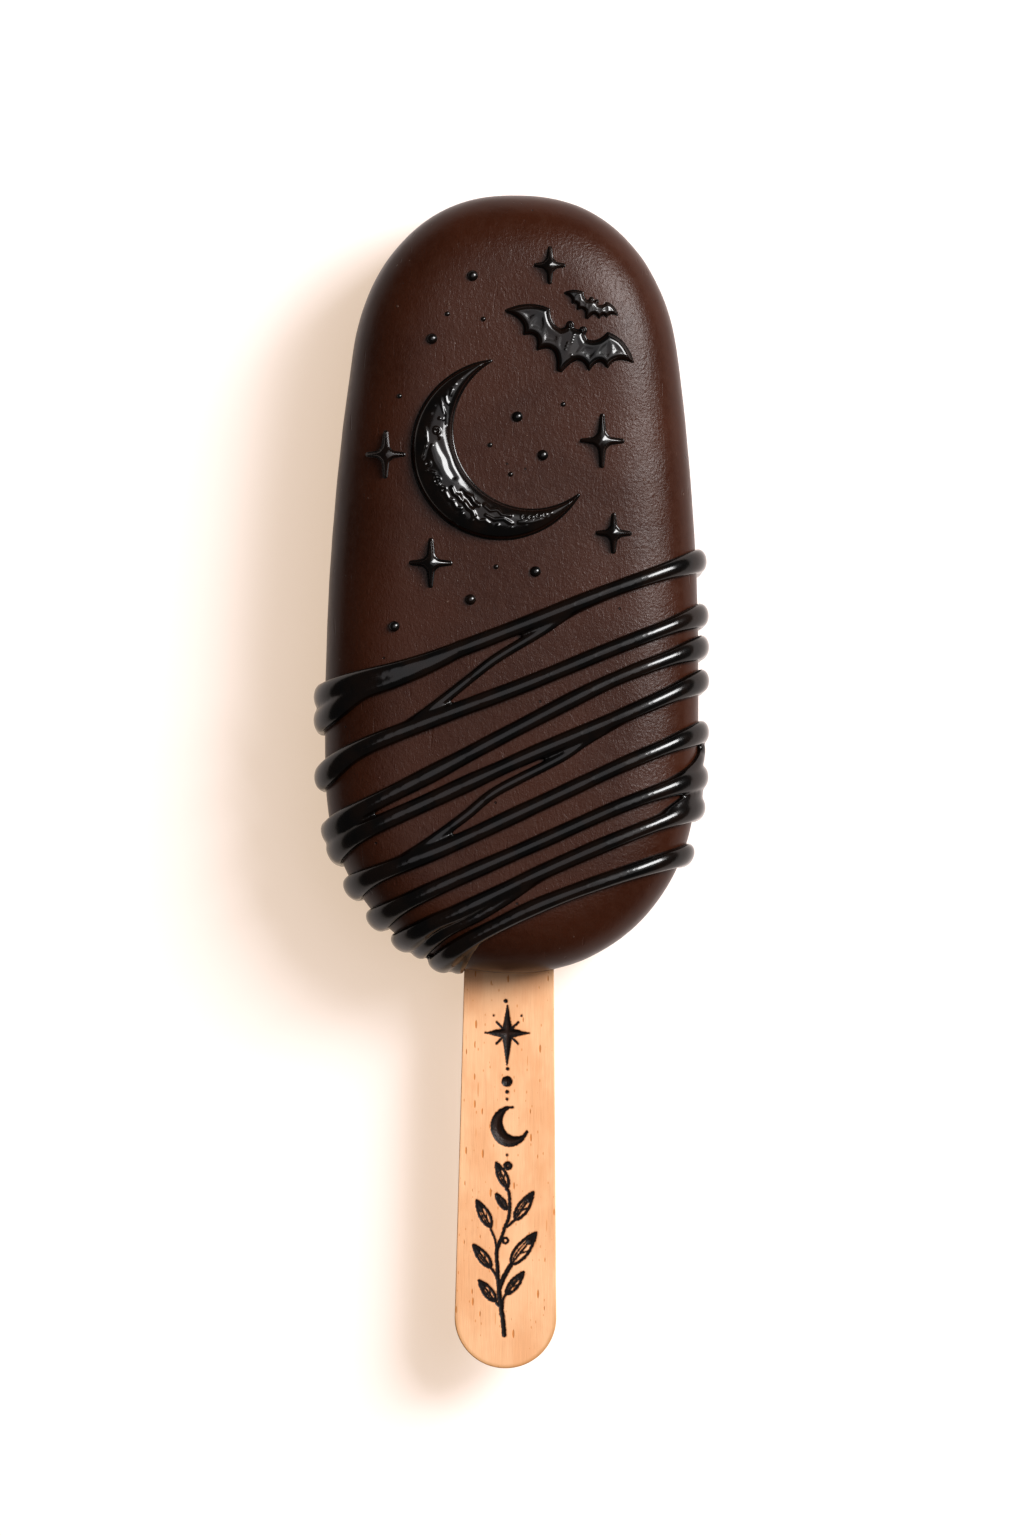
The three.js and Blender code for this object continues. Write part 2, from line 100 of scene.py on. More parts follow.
LEFT_SWELL_REACH = (1.0, 18.0)  # the strands grow wider between these distances left of the middle
SIDE_LEAN = 0.04
STRAND_END_Z = (1.6, 3.6, 2.2, 4.4, 1.9, 2.9)
STRAND_STEP = 0.45
STRAND_SIDES = 20
STRAND_SMOOTHING = 4
STRAND_WAVE = 0.16  # waves of its width in a millimetre
STRAND_UNEVENNESS = 0.1
DRIZZLE_VOXEL = 0.18
DRIZZLE_SMOOTHING = 12

# Dots of glaze: centre and radius.
DOT_LIFT = 0.1
DOT_SQUASH = 0.85
DOT = 0.66
FLECK = 0.3
DOTS = [
    (-5.34, 37.76, DOT), (-10.26, 29.96, DOT), (0.33, 20.48, DOT), (3.51, 15.79, DOT),
    (2.75, 1.47, DOT), (-5.19, -2.04, DOT), (-14.54, -5.43, DOT),
    (-8.39, 33.05, FLECK), (-3.96, 32.45, FLECK), (-14.17, 22.88, FLECK), (-2.97, 16.98, FLECK),
    (-0.4, 13.4, FLECK), (5.96, 22.06, FLECK), (-2.07, 2.02, FLECK),
]

# Ornaments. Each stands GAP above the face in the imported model, and here its foot is sunk into the face.
GAP = 0.3
FOOT_DEPTH = 0.12
FOOT_WIDTH = 0.2
FOOT_SLOPE = 0.5
ORNAMENT_STEP = 0.055
THIN_RIM = 0.11
MOON_OUTER = (-1.6, 16.4, 11.0)
MOON_INNER = (2.15, 18.9, 9.85)
MOON_HEIGHT = 1.9
MOON_TIP_HEIGHT = 0.7
STARS = [
    (4.12, 39.14, 2.2, 1.8),
    (10.76, 17.62, 3.2, 2.6),
    (12.29, 6.28, 2.33, 2.07),
    (-15.83, 15.69, 2.8, 2.3),
    (-10.13, 2.39, 2.9, 2.5),
]
STAR_SIZE = 3.2  # half height of the star that the widths below are for
STAR_ROOT = 0.44
STAR_ROUNDING = 0.3
STAR_TIP = 0.13
STAR_FILLET = 0.8
STAR_PEAK = 1.3
STAR_FALL = 0.95
STAR_BLUNTNESS = 0.05
STAR_STEP = 0.04
BATS = {"bat_large": (6.63, 30.43, 16.76, -21.3), "bat_small": (9.24, 34.45, 6.9, -21.9)}
BAT_DRAWN_SPAN = 16.76
BAT_HEIGHT = 0.9
BAT_WALL = 0.35
BAT_EDGE = 0.7

# Surfaces: how strongly and how roughly they reflect, and the depth of their fine grain in millimetres.
SHELL_SPECULAR = 0.18
SHELL_ROUGHNESS = (0.3, 0.35)
SHELL_GRAIN = 0.05
GLAZE_IOR = 1.5
GLAZE_SPECULAR = 0.4
GLAZE_ROUGHNESS = (0.15, 0.19)
GLAZE_GRAIN = 0.005
WOOD_SPECULAR = 0.15
WOOD_ROUGHNESS = 0.5
BURNT_ROUGHNESS = 0.27
WOOD_GRAIN = 0.03

# Colours, as linear red, green and blue.
SHELL_DEEP = (0.023, 0.0056, 0.0018, 1)
SHELL_WARM = (0.031, 0.0082, 0.003, 1)
SHELL_PALE = (0.034, 0.0116, 0.0056, 1)
SHELL_DUST = (0.12, 0.08, 0.06, 1)
# The pit colour is painted shade: the shell's small dents are darkened as well as sunk.
SHELL_PIT_SHADE = (0.004, 0.0015, 0.001, 1)
GLAZE_BLACK = (0.0012, 0.0009, 0.0008, 1)
GLAZE_BROWN = (0.005, 0.0022, 0.0012, 1)
WOOD_PALE = (0.53, 0.32, 0.185, 1)
WOOD_PEACH = (0.485, 0.265, 0.14, 1)
WOOD_ORANGE = (0.42, 0.18, 0.065, 1)
WOOD_FLECK = (0.36, 0.13, 0.025, 1)
# The rim colour is painted shade along the edge of the stick's round end.
WOOD_RIM_SHADE = (0.3, 0.15, 0.05, 1)
WOOD_SCORCH = (0.24, 0.07, 0.012, 1)
WOOD_BURNT = (0.004, 0.0018, 0.001, 1)
WOOD_CHAR = (0.05, 0.02, 0.01, 1)
FLOOR_NEAR = (0.335, 0.335, 0.37, 1)
FLOOR_FAR = (0.24, 0.23, 0.22, 1)
# The floor's glow is painted light: an emission that lifts the floor in the bar's shadow to cream, stronger
# near the bar.
FLOOR_GLOW_NEAR = (0.53, 0.42, 0.32, 1)
FLOOR_GLOW_FAR = (0.3, 0.25, 0.21, 1)
FLOOR_FADE = (0.12, 0.5)  # the floor darkens between these distances, in metres
FLOOR_RADIUS = 6
FLOOR_ROUGHNESS = 0.9

# Camera: the point of the object in the middle of the picture, the picture's height there and its turn.
VIEW_CENTRE = (0.11, -22.69)
VIEW_LEVEL = 14.5
VIEW_HEIGHT = 189.7
VIEW_TURN = math.radians(0.586)
LENS = 300.0
SENSOR = 36.0

# Soft boxes: degrees anticlockwise from +X and above the floor, distance, width, height, power and colour.
LIGHTS = {
    "key": (29, 45, 0.95, 0.42, 0.56, 16, (1, 1, 1)),
    "fill": (29, 59, 0.95, 1.1, 0.8, 2.8, (1, 1, 1)),
    "overhead": (0, 90, 0.9, 0.75, 0.75, 1.8, (1.0, 0.97, 1.0)),
}
WORLD_COLOUR = (1.0, 0.97, 0.95, 1)
WORLD_STRENGTH = 0.08
EXPOSURE = 0.37
GAMMA = 0.85


# Meshes and pieces
def in_scene(name, data):
    thing = bpy.data.objects.new(name, data)
    bpy.context.scene.collection.objects.link(thing)
    return thing


def raw_piece(name, *bodies):
    """A new mesh object from bodies, given as pairs of points and faces, still in millimetres."""
    points = []
    faces = []
    for some_points, some_faces in bodies:
        faces += [[int(i) + len(points) for i in face] for face in some_faces]
        points += some_points.tolist()
    mesh = bpy.data.meshes.new(name)
    mesh.from_pydata(points, [], faces)
    mesh.validate()
    return in_scene(name, mesh)


def drawn_piece(name, bm):
    """A new mesh object from a bmesh."""
    mesh = bpy.data.meshes.new(name)
    bm.to_mesh(mesh)
    bm.free()
    return in_scene(name, mesh)


def read_points(mesh, what):
    flat = np.empty(len(mesh.vertices) * 3)
    mesh.vertices.foreach_get(what, flat)
    return flat.reshape(-1, 3)


def add_values(mesh, name, values):
    """Gives each point of a mesh a number that its material can read."""
    attribute = mesh.attributes.new(name, "FLOAT", "POINT")
    attribute.data.foreach_set("value", np.ascontiguousarray(values, np.float32))


def remesh(piece, voxel, smoothing):
    """Joins the overlapping bodies of a piece into one even skin and smooths it."""
    join = piece.modifiers.new("join", "REMESH")
    join.mode = "VOXEL"
    join.voxel_size = voxel
    smooth = piece.modifiers.new("smooth", "SMOOTH")
    smooth.iterations = smoothing
    evaluated = piece.evaluated_get(bpy.context.evaluated_depsgraph_get())
    piece.data = bpy.data.meshes.new_from_object(evaluated)
    piece.data.name = piece.name
    piece.modifiers.clear()


def finish_piece(piece, material, slot, *nodes):
    """Scales the piece to metres, dresses it and puts it in the place of its nodes."""
    piece.data.transform(Matrix.Scale(MM, 4))
    piece.data.shade_smooth()
    piece.data.materials.append(material)
    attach(piece, "root")
    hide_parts(*nodes)


def ring_faces(rings, sides, closed=False):
    """Quads between rings of points that each have the same number of sides."""
    faces = []
    for ring in range(rings if closed else rings - 1):
        here = ring * sides
        there = (ring + 1) % rings * sides
        for i in range(sides):
            after = (i + 1) % sides
            faces.append((here + i, here + after, there + after, there + i))
    return faces


# Small helpers
def rounded(share, power=2):
    """Rises from 0 to 1 as the quarter of an oval does."""
    return (1 - (1 - np.clip(share, 0, 1)) ** power) ** (1 / power)


def fade(values, start, full):
    """Rises evenly from 0 at the start to 1 where it is full."""
    return np.clip((values - start) / (full - start), 0, 1)


def bump(distance, reach):
    return np.exp(-((distance / reach) ** 2))


def unit(ways):
    return ways / np.linalg.norm(ways, axis=1, keepdims=True)


def away_from(plan, x, y):
    return np.hypot(plan[:, 0] - x, plan[:, 1] - y)


def full_turn(count):
    return np.linspace(0, 2 * np.pi, count, endpoint=False)


def arc(x, y, radius, angle):
    return np.column_stack([x + radius * np.cos(angle), y + radius * np.sin(angle)])


def turned_over(faces):
    return [face[::-1] for face in faces]


# The bar's form
def half_width(y):
    along = y / HALF_LENGTH
    wide = MID_HALF_WIDTH - TOP_TAPER * along - END_TAPER * along**2
    for end, from_tip in ((TOP_END, HALF_LENGTH - y), (STICK_END, HALF_LENGTH + y)):
        wide = wide * rounded(from_tip / end["length"], end["roundness"])
    return wide


def lengths_along(path):
    return np.concatenate([[0], np.cumsum(np.linalg.norm(np.diff(path, axis=0), axis=1))])


def resampled(path, places):
    """The path's columns at the given lengths along it, measured over its first three columns."""
    lengths = lengths_along(path[:, :3])
    return np.column_stack([np.interp(places, lengths, column) for column in path.T])


def outline(count):
    """Even points of the outline, anticlockwise from the middle of the stick end, and their outward ways."""
    y = -HALF_LENGTH * np.cos(np.linspace(0, np.pi, OUTLINE_LEVELS))
    right = np.column_stack([half_width(y), y])
    left = right[-2:0:-1] * (-1, 1)
    path = np.vstack([right, left, right[:1]])
    total = lengths_along(path)[-1]
    points = resampled(path, np.linspace(0, total, count, endpoint=False))
    along = unit(np.roll(points, -1, 0) - np.roll(points, 1, 0))
    return points, np.column_stack([along[:, 1], -along[:, 0]])


EDGE, EDGE_OUT = outline(EDGE_POINTS)
EDGE_SPACING = math.dist(EDGE[0], EDGE[1])
EDGE_TREE = kdtree.KDTree(len(EDGE))
for edge_index, edge_place in enumerate(EDGE):
    EDGE_TREE.insert((*edge_place, 0), edge_index)
EDGE_TREE.balance()


def nearest_edge(plan):
    return np.array([EDGE_TREE.find((x, y, 0))[1] for x, y in plan.tolist()], int)


def inset(plan):
    """How far points of the plan lie inside the outline."""
    near = nearest_edge(plan)
    return ((EDGE[near] - plan) * EDGE_OUT[near]).sum(1)


def crown(plan):
    return FACE_CROWN * (1 - np.minimum(1, (plan / CROWN_HALF) ** 2)).prod(1)


def face_height(plan):
    return WIDEST_Z + rounded(inset(plan) / SHOULDER_REACH, SHOULDER_POWER) * (SHOULDER_RISE + crown(plan))


def face_normal(plan):
    step = 0.2
    falls = [face_height(plan - way) - face_height(plan + way) for way in np.eye(2) * step]
    return unit(np.column_stack([*falls, np.full(len(plan), 2 * step)]))


def side_inset(z):
    return SIDE_DRAFT * (1 - z / WIDEST_Z) + BACK_EDGE * (1 - rounded(z / BACK_EDGE))


# Chocolate shell
SHELL_SIDES = 900
BACK_RINGS = 12
BACK_EDGE_RINGS = 9
SIDE_RINGS = 18
SHOULDER_RINGS = 52
FACE_RINGS = 46
SLIT = 0.97  # how far the last ring is drawn in towards the spine, as a share
SHELL_WAVES = ((0.10, 0.07), (0.28, 0.03), (0.7, 0.008), (1.5, 0.003))  # waves in a millimetre, and height
SHELL_SEED = 3.0
GRAIN_STARTS = (1.2, 3.6)  # the grain fades in between these depths inside the outline
SIDE_GRAIN = 0.15
MOUTH_BEAD = 0.2
MOUTH_RINGS = 12
MOUTH_SIDES = 96
MOUTH_CORNERS = 0.3  # the lower, the squarer the bead's way round the stick


def drawn_in(rim, share):
    """A rim drawn in towards the spine of the bar."""
    spine_y = np.clip(rim[:, 1], -SPINE_HALF, SPINE_HALF)
    return rim + share * (np.column_stack([0 * spine_y, spine_y]) - rim)


def level_ring(plan, z):
    return np.column_stack([plan, np.full(len(plan), z)])


def raised_ring(plan, rise=1):
    return np.column_stack([plan, WIDEST_Z + rise * (SHOULDER_RISE + crown(plan))])


def shell_rings():
    edge, out = outline(SHELL_SIDES)
    rim = edge - out * side_inset(0)
    rings = [level_ring(drawn_in(rim, share), 0) for share in np.linspace(SLIT, 0.1, BACK_RINGS)]
    turned = BACK_EDGE * (1 - np.cos(np.linspace(0, np.pi / 2, BACK_EDGE_RINGS)))
    straight = np.linspace(BACK_EDGE, WIDEST_Z, SIDE_RINGS + 2)[1:-1]
    rings += [level_ring(edge - out * side_inset(z), z) for z in np.concatenate([turned, straight])]
    for angle in np.linspace(0, np.pi / 2, SHOULDER_RINGS):
        rim = edge - out * SHOULDER_REACH * (1 - math.cos(angle) ** (2 / SHOULDER_POWER))
        rings.append(raised_ring(rim, math.sin(angle) ** (2 / SHOULDER_POWER)))
    rings += [raised_ring(drawn_in(rim, share)) for share in np.linspace(0, SLIT, FACE_RINGS)[1:]]
    return rings


def zip_faces(first, sides):
    """Closes a ring that has been drawn in to a narrow slit, from one of its long sides to the other."""
    last = first + sides
    faces = [(first, first + 1, last - 1)]
    faces += [(first + i, first + i + 1, last - i - 1, last - i) for i in range(1, sides // 2 - 1)]
    middle = first + sides // 2
    return [*faces, (middle - 1, middle, middle + 1)]


def waves(points, layers, seed):
    """Smooth uneven relief, as the sum of layers of noise of the given fineness and height."""
    shift = Vector((seed, 2.3 * seed, -1.7 * seed))
    total = np.zeros(len(points))
    for fineness, height in layers:
        for i, point in enumerate(points):
            total[i] += height * noise.noise(Vector(point).to_3d() * fineness + shift)
    return total


def mouth_bead():
    """A low bead of chocolate round the stick, where it enters the bar's end."""
    half_thick = STICK_THICKNESS / 2
    half_wide = STICK_WIDTH_AT_BAR / 2
    around = arc(0, 0, 1, full_turn(MOUTH_SIDES))
    around = np.sign(around) * np.abs(around) ** MOUTH_CORNERS
    x = half_wide * around[:, 0]
    z = STICK_MID_Z + half_thick * around[:, 1]
    low_end = EDGE[(np.abs(EDGE[:, 0]) < half_wide + 1) & (EDGE[:, 1] < 0)]
    low_end = low_end[np.argsort(low_end[:, 0])]
    y = np.interp(x, low_end[:, 0], low_end[:, 1]) + side_inset(z)
    centre = np.column_stack([x, y, z])
    outward = unit(np.column_stack([around[:, 0], 0 * x, around[:, 1]]))
    rings = []
    for angle in full_turn(MOUTH_RINGS):
        reach = MOUTH_BEAD * (0.5 + math.cos(angle))
        rings.append(centre + outward * reach + np.array([0, MOUTH_BEAD * math.sin(angle), 0]))
    return np.vstack(rings), turned_over(ring_faces(MOUTH_RINGS, MOUTH_SIDES, closed=True))


def make_shell(material):
    rings = shell_rings()
    faces = ring_faces(len(rings), SHELL_SIDES) + turned_over(zip_faces(0, SHELL_SIDES))
    faces += zip_faces((len(rings) - 1) * SHELL_SIDES, SHELL_SIDES)
    piece = raw_piece("chocolate_shell", (np.vstack(rings), faces), mouth_bead())
    mesh = piece.data
    skin = read_points(mesh, "co")
    relief = waves(skin, SHELL_WAVES, SHELL_SEED) * fade(skin[:, 2], 0, BACK_EDGE)
    grain = fade(inset(skin[:, :2]), *GRAIN_STARTS)
    add_values(mesh, "grain", np.where(skin[:, 2] > WIDEST_Z, grain, SIDE_GRAIN))
    moved = skin + read_points(mesh, "normal") * relief[:, None]
    mesh.vertices.foreach_set("co", np.ascontiguousarray(moved, np.float32).ravel())
    mesh.update()
    finish_piece(piece, material, "chocolate_shell", "bar")


# Drizzle and dots
def curve_through(points, steps=60):
    """Close points on the smooth curve through the given ones."""
    knots = np.array([points[0], *points, points[-1]], float)
    t = np.linspace(0, 1, steps, endpoint=False)[:, None]
    pieces = []
    for before, start, end, after in zip(knots, knots[1:], knots[2:], knots[3:]):
        place = (2 * t**3 - 3 * t**2 + 1) * start + (3 * t**2 - 2 * t**3) * end
        pull = (t**3 - 2 * t**2 + t) * (end - before) / 2 + (t**3 - t**2) * (after - start) / 2
        pieces.append(place + pull)
    return np.vstack([*pieces, knots[-1:]])


def drip_down(place, end_z):
    """The way down the side from a place on the outline, as points and outward ways."""
    z = np.linspace(WIDEST_Z, end_z, 40)[1:]
    shift = np.round(-SIDE_LEAN * EDGE_OUT[place, 0] * (WIDEST_Z - z) / EDGE_SPACING).astype(int)
    index = (place + shift) % len(EDGE)
    plan = EDGE[index] - EDGE_OUT[index] * side_inset(z)[:, None]
    out = np.column_stack([EDGE_OUT[index], np.zeros(len(z))])
    return np.column_stack([plan, z, out])


def strand_path(points, end_z):
    """Even places of a strand on the skin, as points and outward ways."""
    plan = curve_through(points)
    plan = plan[inset(plan) > 0]
    path = np.column_stack([plan, face_height(plan), face_normal(plan)])
    for end in (-1, 0):
        if inset(np.array([points[end]]))[0] < 0:
            path = np.vstack([path, drip_down(nearest_edge(plan[[end]])[0], end_z)])
        path = path[::-1]
    total = lengths_along(path[:, :3])[-1]
    path = resampled(path, np.linspace(0, total, round(total / STRAND_STEP)))
    for _ in range(STRAND_SMOOTHING):
        path[1:-1] = (path[:-2] + 2 * path[1:-1] + path[2:]) / 4
    path[:, 3:] = unit(path[:, 3:])
    return path


def strand_mesh(strand, index):
    width, *points = strand
    path = strand_path(points, STRAND_END_Z[index % len(STRAND_END_Z)])
    at = path[:, :3]
    normal = path[:, 3:]
    side = unit(np.cross(normal, unit(np.gradient(at, axis=0))))
    depth = np.maximum(0, inset(at[:, :2]))
    swell = 1 + EDGE_SWELL * bump(depth, EDGE_SWELL_REACH) + LEFT_SWELL * fade(-at[:, 0], *LEFT_SWELL_REACH)
    length = lengths_along(at)
    tip = fade(np.minimum(length, length[-1] - length), 0, 0.5 * width)
    size = 0.5 * width * np.sqrt(np.clip(1 - (1 - tip) ** 2, 0.02, 1))
    uneven = [noise.noise(Vector((STRAND_WAVE * step, 7.7 * index, 0))) for step in length]
    size = size * (1 + STRAND_UNEVENNESS * np.array(uneven))
    middle = at + normal * BEAD_LIFT * width
    turn = full_turn(STRAND_SIDES)
    across = np.cos(turn)[:, None] * (side * (size * swell)[:, None])[:, None]
    up = np.sin(turn)[:, None] * (normal * size[:, None])[:, None]
    points = (middle[:, None] + across + up).reshape(-1, 3)
    ends = [range(STRAND_SIDES)[::-1], range(len(points) - STRAND_SIDES, len(points))]
    return points, ring_faces(len(at), STRAND_SIDES) + ends


def make_drizzle(material):
    piece = raw_piece("drizzle", *[strand_mesh(strand, index) for index, strand in enumerate(STRANDS)])
    remesh(piece, DRIZZLE_VOXEL, DRIZZLE_SMOOTHING)
    finish_piece(piece, material, "black_glaze", "bar")


def make_dots(material):
    bm = bmesh.new()
    for x, y, radius in DOTS:
        z = float(face_height(np.array([[x, y]]))[0]) + DOT_LIFT * radius
        place = Matrix.Translation((x, y, z)) @ Matrix.Diagonal((1, 1, DOT_SQUASH, 1))
        bmesh.ops.create_icosphere(bm, subdivisions=4, radius=radius, matrix=place)
    finish_piece(drawn_piece("glaze_dots", bm), material, "black_glaze", "bar")


# Drawing helpers in the plan
def nearest_on_line(plan, line):
    """The nearest places on a line to the points of the plan, and how far off they are."""
    nearest = np.zeros_like(plan)
    gap = np.full(len(plan), np.inf)
    for start, end in zip(line[:-1], line[1:]):
        way = end - start
        share = np.clip((plan - start) @ way / max(way @ way, 1e-12), 0, 1)
        place = start + share[:, None] * way
        distance = np.linalg.norm(plan - place, axis=1)
        closer = distance < gap
        gap[closer] = distance[closer]
        nearest[closer] = place[closer]
    return nearest, gap


def line_distance(plan, points):
    return nearest_on_line(plan, np.array(points, float))[1]


def curve_distance(plan, points):
    return line_distance(plan, curve_through(points, 6))


def inside_of(plan, line):
    """Which points of the plan lie inside a closed line."""
    inside = np.zeros(len(plan), bool)
    for (x0, y0), (x1, y1) in zip(line[:-1], line[1:]):
        if y0 != y1:
            crosses = (y0 > plan[:, 1]) != (y1 > plan[:, 1])
            inside ^= crosses & (plan[:, 0] < x0 + (plan[:, 1] - y0) * (x1 - x0) / (y1 - y0))
    return inside


def closed(line):
    return np.vstack([line, line[:1]])


# Raised ornaments, each a closed solid on a fine even grid over its plan
def grid_solid(kept, shape):
    """Faces of a solid between a grid and its copy below, where all corners of a cell are kept."""
    cells = kept.reshape(shape)
    whole = cells[:-1, :-1] & cells[1:, :-1] & cells[1:, 1:] & cells[:-1, 1:]
    i, j = np.nonzero(whole)
    first = i * shape[1] + j
    top = np.column_stack([first, first + shape[1], first + shape[1] + 1, first + 1])
    total = len(kept)
    edges = np.vstack([top[:, [k, (k + 1) % 4]] for k in range(4)])
    single = ~np.isin(edges[:, 0] * total + edges[:, 1], edges[:, 1] * total + edges[:, 0])
    rim = edges[single]
    walls = np.column_stack([rim[:, 1], rim[:, 0], rim[:, 0] + total, rim[:, 1] + total])
    return np.vstack([top, top[:, ::-1] + total, walls])


def softened(heights, inside, shape, passes):
    """Heights over a grid, evened out inside the outline."""
    field = heights.reshape(shape)
    inner = inside.reshape(shape)[1:-1, 1:-1]
    for _ in range(passes):
        around = (field[:-2, 1:-1] + field[2:, 1:-1] + field[1:-1, :-2] + field[1:-1, 2:]) / 4
        field[1:-1, 1:-1] = np.where(inner, (field[1:-1, 1:-1] + around) / 2, field[1:-1, 1:-1])
    return field.ravel()


def raise_piece(name, node, material, line, height_at, passes,
                place=(0, 0), turn=0, scale=1, fineness=ORNAMENT_STEP):
    """Makes an ornament on the face with a narrow foot. height_at gives its height inside the outline."""
    step = fineness / scale
    margin = FOOT_WIDTH / scale + 2 * step
    low = line.min(0) - margin
    high = line.max(0) + margin
    columns = np.arange(low[0], high[0], step)
    lines = np.arange(low[1], high[1], step)
    shape = (len(columns), len(lines))
    plan = np.column_stack([np.repeat(columns, shape[1]), np.tile(lines, shape[0])])
    line = closed(line)
    nearest, gap = nearest_on_line(plan, line)
    at_edge = gap < step / 2
    plan[at_edge] = nearest[at_edge]
    inside = inside_of(plan, line) & ~at_edge
    depth = np.where(at_edge, 0, np.where(inside, gap, -gap)) * scale
    heights = FOOT_SLOPE * np.clip(depth + FOOT_WIDTH, 0, FOOT_WIDTH)
    heights[inside] = height_at(plan[inside], depth[inside])
    heights = softened(heights, inside, shape, passes)
    heights[depth < -FOOT_WIDTH] = -FOOT_DEPTH
    faces = grid_solid(depth > -FOOT_WIDTH - 1.5 * fineness, shape)
    used, faces = np.unique(faces, return_inverse=True)
    used = used[: len(used) // 2]
    angle = math.radians(turn)
    spin = np.array([[math.cos(angle), math.sin(angle)], [-math.sin(angle), math.cos(angle)]])
    plan = plan[used] * scale @ spin + place
    ground = face_height(plan)
    top = np.column_stack([plan, ground + heights[used]])
    under = np.column_stack([plan, ground - 2 * FOOT_DEPTH])
    piece = raw_piece(name, (np.vstack([top, under]), faces.reshape(-1, 4)))
    finish_piece(piece, material, "black_glaze", node)


# Stars
def star_line(half_high, half_wide, size):
    """A star of four rays, each narrowing to a round tip, with round corners between them."""
    root = STAR_ROOT * size
    tip = STAR_TIP * size
    fillet = STAR_FILLET * size

    def ray(length):
        end = length - tip + tip * np.sin(np.linspace(np.pi / 2, 0, 12, endpoint=False))
        along = np.concatenate([end, np.linspace(length - tip, 0, 60)])
        wide = root + (tip - root) * np.minimum(along, length - tip) / (length - tip)
        wide *= rounded((length - along) / tip)
        wide += fillet * (1 - rounded((along - root) / fillet))
        return np.column_stack([along, wide])[along > wide]

    upper = ray(half_high)[:, ::-1]
    right = ray(half_wide)[::-1]
    corner = np.vstack([upper, right[:-1]])
    opposite = corner[::-1] * (1, -1)
    half = np.vstack([corner, right[-1:], opposite[:-1]])
    return np.vstack([half, half[::-1] * (-1, 1)])


def make_star(name, star, material):
    x, y, half_high, half_wide = star
    size = math.sqrt(half_high / STAR_SIZE)

    def height(plan, depth):
        out = np.hypot(plan[:, 0] / half_wide, plan[:, 1] / half_high)
        cap = size * (STAR_ROUNDING + (STAR_TIP - STAR_ROUNDING) * np.minimum(out, 1))
        crest = STAR_PEAK + GAP - STAR_FALL * np.hypot(out, STAR_BLUNTNESS)
        return crest - cap * (1 - rounded(depth / cap))

    line = star_line(half_high, half_wide, size)
    raise_piece(name, name, material, line, height, passes=3, place=(x, y), fineness=STAR_STEP)


# Bats
BAT_LEAN = 0.42
EAR = (0.86, 1.3, 0.36)  # place and radius
EAR_RIM = 0.35
EAR_HOLLOW = 0.2
BAT_WING = [  # the middle and the end of each stretch of the outline, from the ear round to the tail
    ((1.25, 0.75), (1.7, 0.33)),
    ((3, 0.75), (3.9, 2.1)),
    ((6.3, 1.65), (8.38, 0)),
    ((6.35, -0.42), (5.5, -1.8)),
    ((4.15, -1.5), (3.4, -2.95)),
    ((1.6, -2.3), (0.25, -4.4)),
]


def bat_lean(x):
    """How far the bat stands to the right of the middle between its wing tips."""
    return BAT_LEAN * (1 - (2 * x / BAT_DRAWN_SPAN) ** 2)


def bat_half():
    """Half a bat, from the dip between the ears to the tail."""
    def through(start, middle, end):
        t = np.linspace(0, 1, 14)[1:, None]
        control = 2 * middle - (start + end) / 2
        return (1 - t) ** 2 * start + 2 * t * (1 - t) * control + t**2 * end

    stretches = [np.array([(0, 1.02), (0.35, 1.05)]), arc(*EAR, np.radians(np.linspace(215, -30, 8)))]
    for middle, end in np.array(BAT_WING):
        stretches.append(through(stretches[-1][-1], middle, end))
    return np.vstack(stretches)


BAT_FINGERS = [
    [(3.9, 2.0), (5.2, 0.5), (5.5, -1.8)],
    [(3.9, 2.0), (3.55, -0.2), (3.4, -2.9)],
    [(1.7, 0.1), (1.3, -1.8), (0.3, -4.4)],
]
BAT_BUTTONS = [
    (0, 0.35), (0.06, 0), (0.08, -0.35), (0.1, -0.7), (-0.28, -0.9), (-0.28, -1.3), (-0.25, -1.75),
    (0.65, -2.1),
]
BAT_SINK = 0.125
BAT_RIM = (0.5, 1.2)  # the membranes sink between these depths inside the outline
BAT_BODY = (1.1, 2.2)
BAT_FINGER = 0.36
BAT_BUTTON = 0.14


def bat_relief(plan, depth):
    """The bat's relief in its drawn size: sunk membranes between rim and bones, body, buttons and ears."""
    lean = bat_lean(plan[:, 0])
    across = np.abs(plan[:, 0] - lean)
    folded = np.column_stack([across, plan[:, 1]])
    bones = bump(across / BAT_BODY[0], 1)
    for finger in BAT_FINGERS:
        bones = np.maximum(bones, bump(curve_distance(folded, finger), BAT_FINGER))
    sunk = fade(depth, *BAT_RIM)
    relief = -BAT_SINK * sunk * sunk * (3 - 2 * sunk) * (1 - 0.9 * bones)
    relief += 0.1 * bump(across, BAT_BODY[0]) * bump(plan[:, 1] + 0.8, BAT_BODY[1])
    for x, y in BAT_BUTTONS:
        relief += 0.5 * BAT_BUTTON * bump(away_from(plan, lean + x, y), BAT_BUTTON)
    from_ear = away_from(folded, *EAR[:2])
    return relief + EAR_RIM * bump(from_ear - 0.6 * EAR[2], THIN_RIM) - EAR_HOLLOW * bump(from_ear, 0.14)


def make_bat(name, bat, material):
    x, y, span, turn = bat
    scale = span / BAT_DRAWN_SPAN
    right = bat_half()
    line = np.vstack([right, right[:0:-1] * (-1, 1)])[::-1]
    line[:, 0] += bat_lean(line[:, 0])
    edge = BAT_EDGE * scale**0.5

    def height(plan, depth):
        top = (BAT_HEIGHT + GAP) * scale**0.25 - 0.1
        relief = bat_relief(plan, depth / scale) * scale**0.7
        return BAT_WALL + (top - BAT_WALL) * rounded(depth / edge) + relief * fade(depth, 0, 0.25)

    raise_piece(name, name, material, line, height, passes=3, place=(x, y), turn=turn, scale=scale)


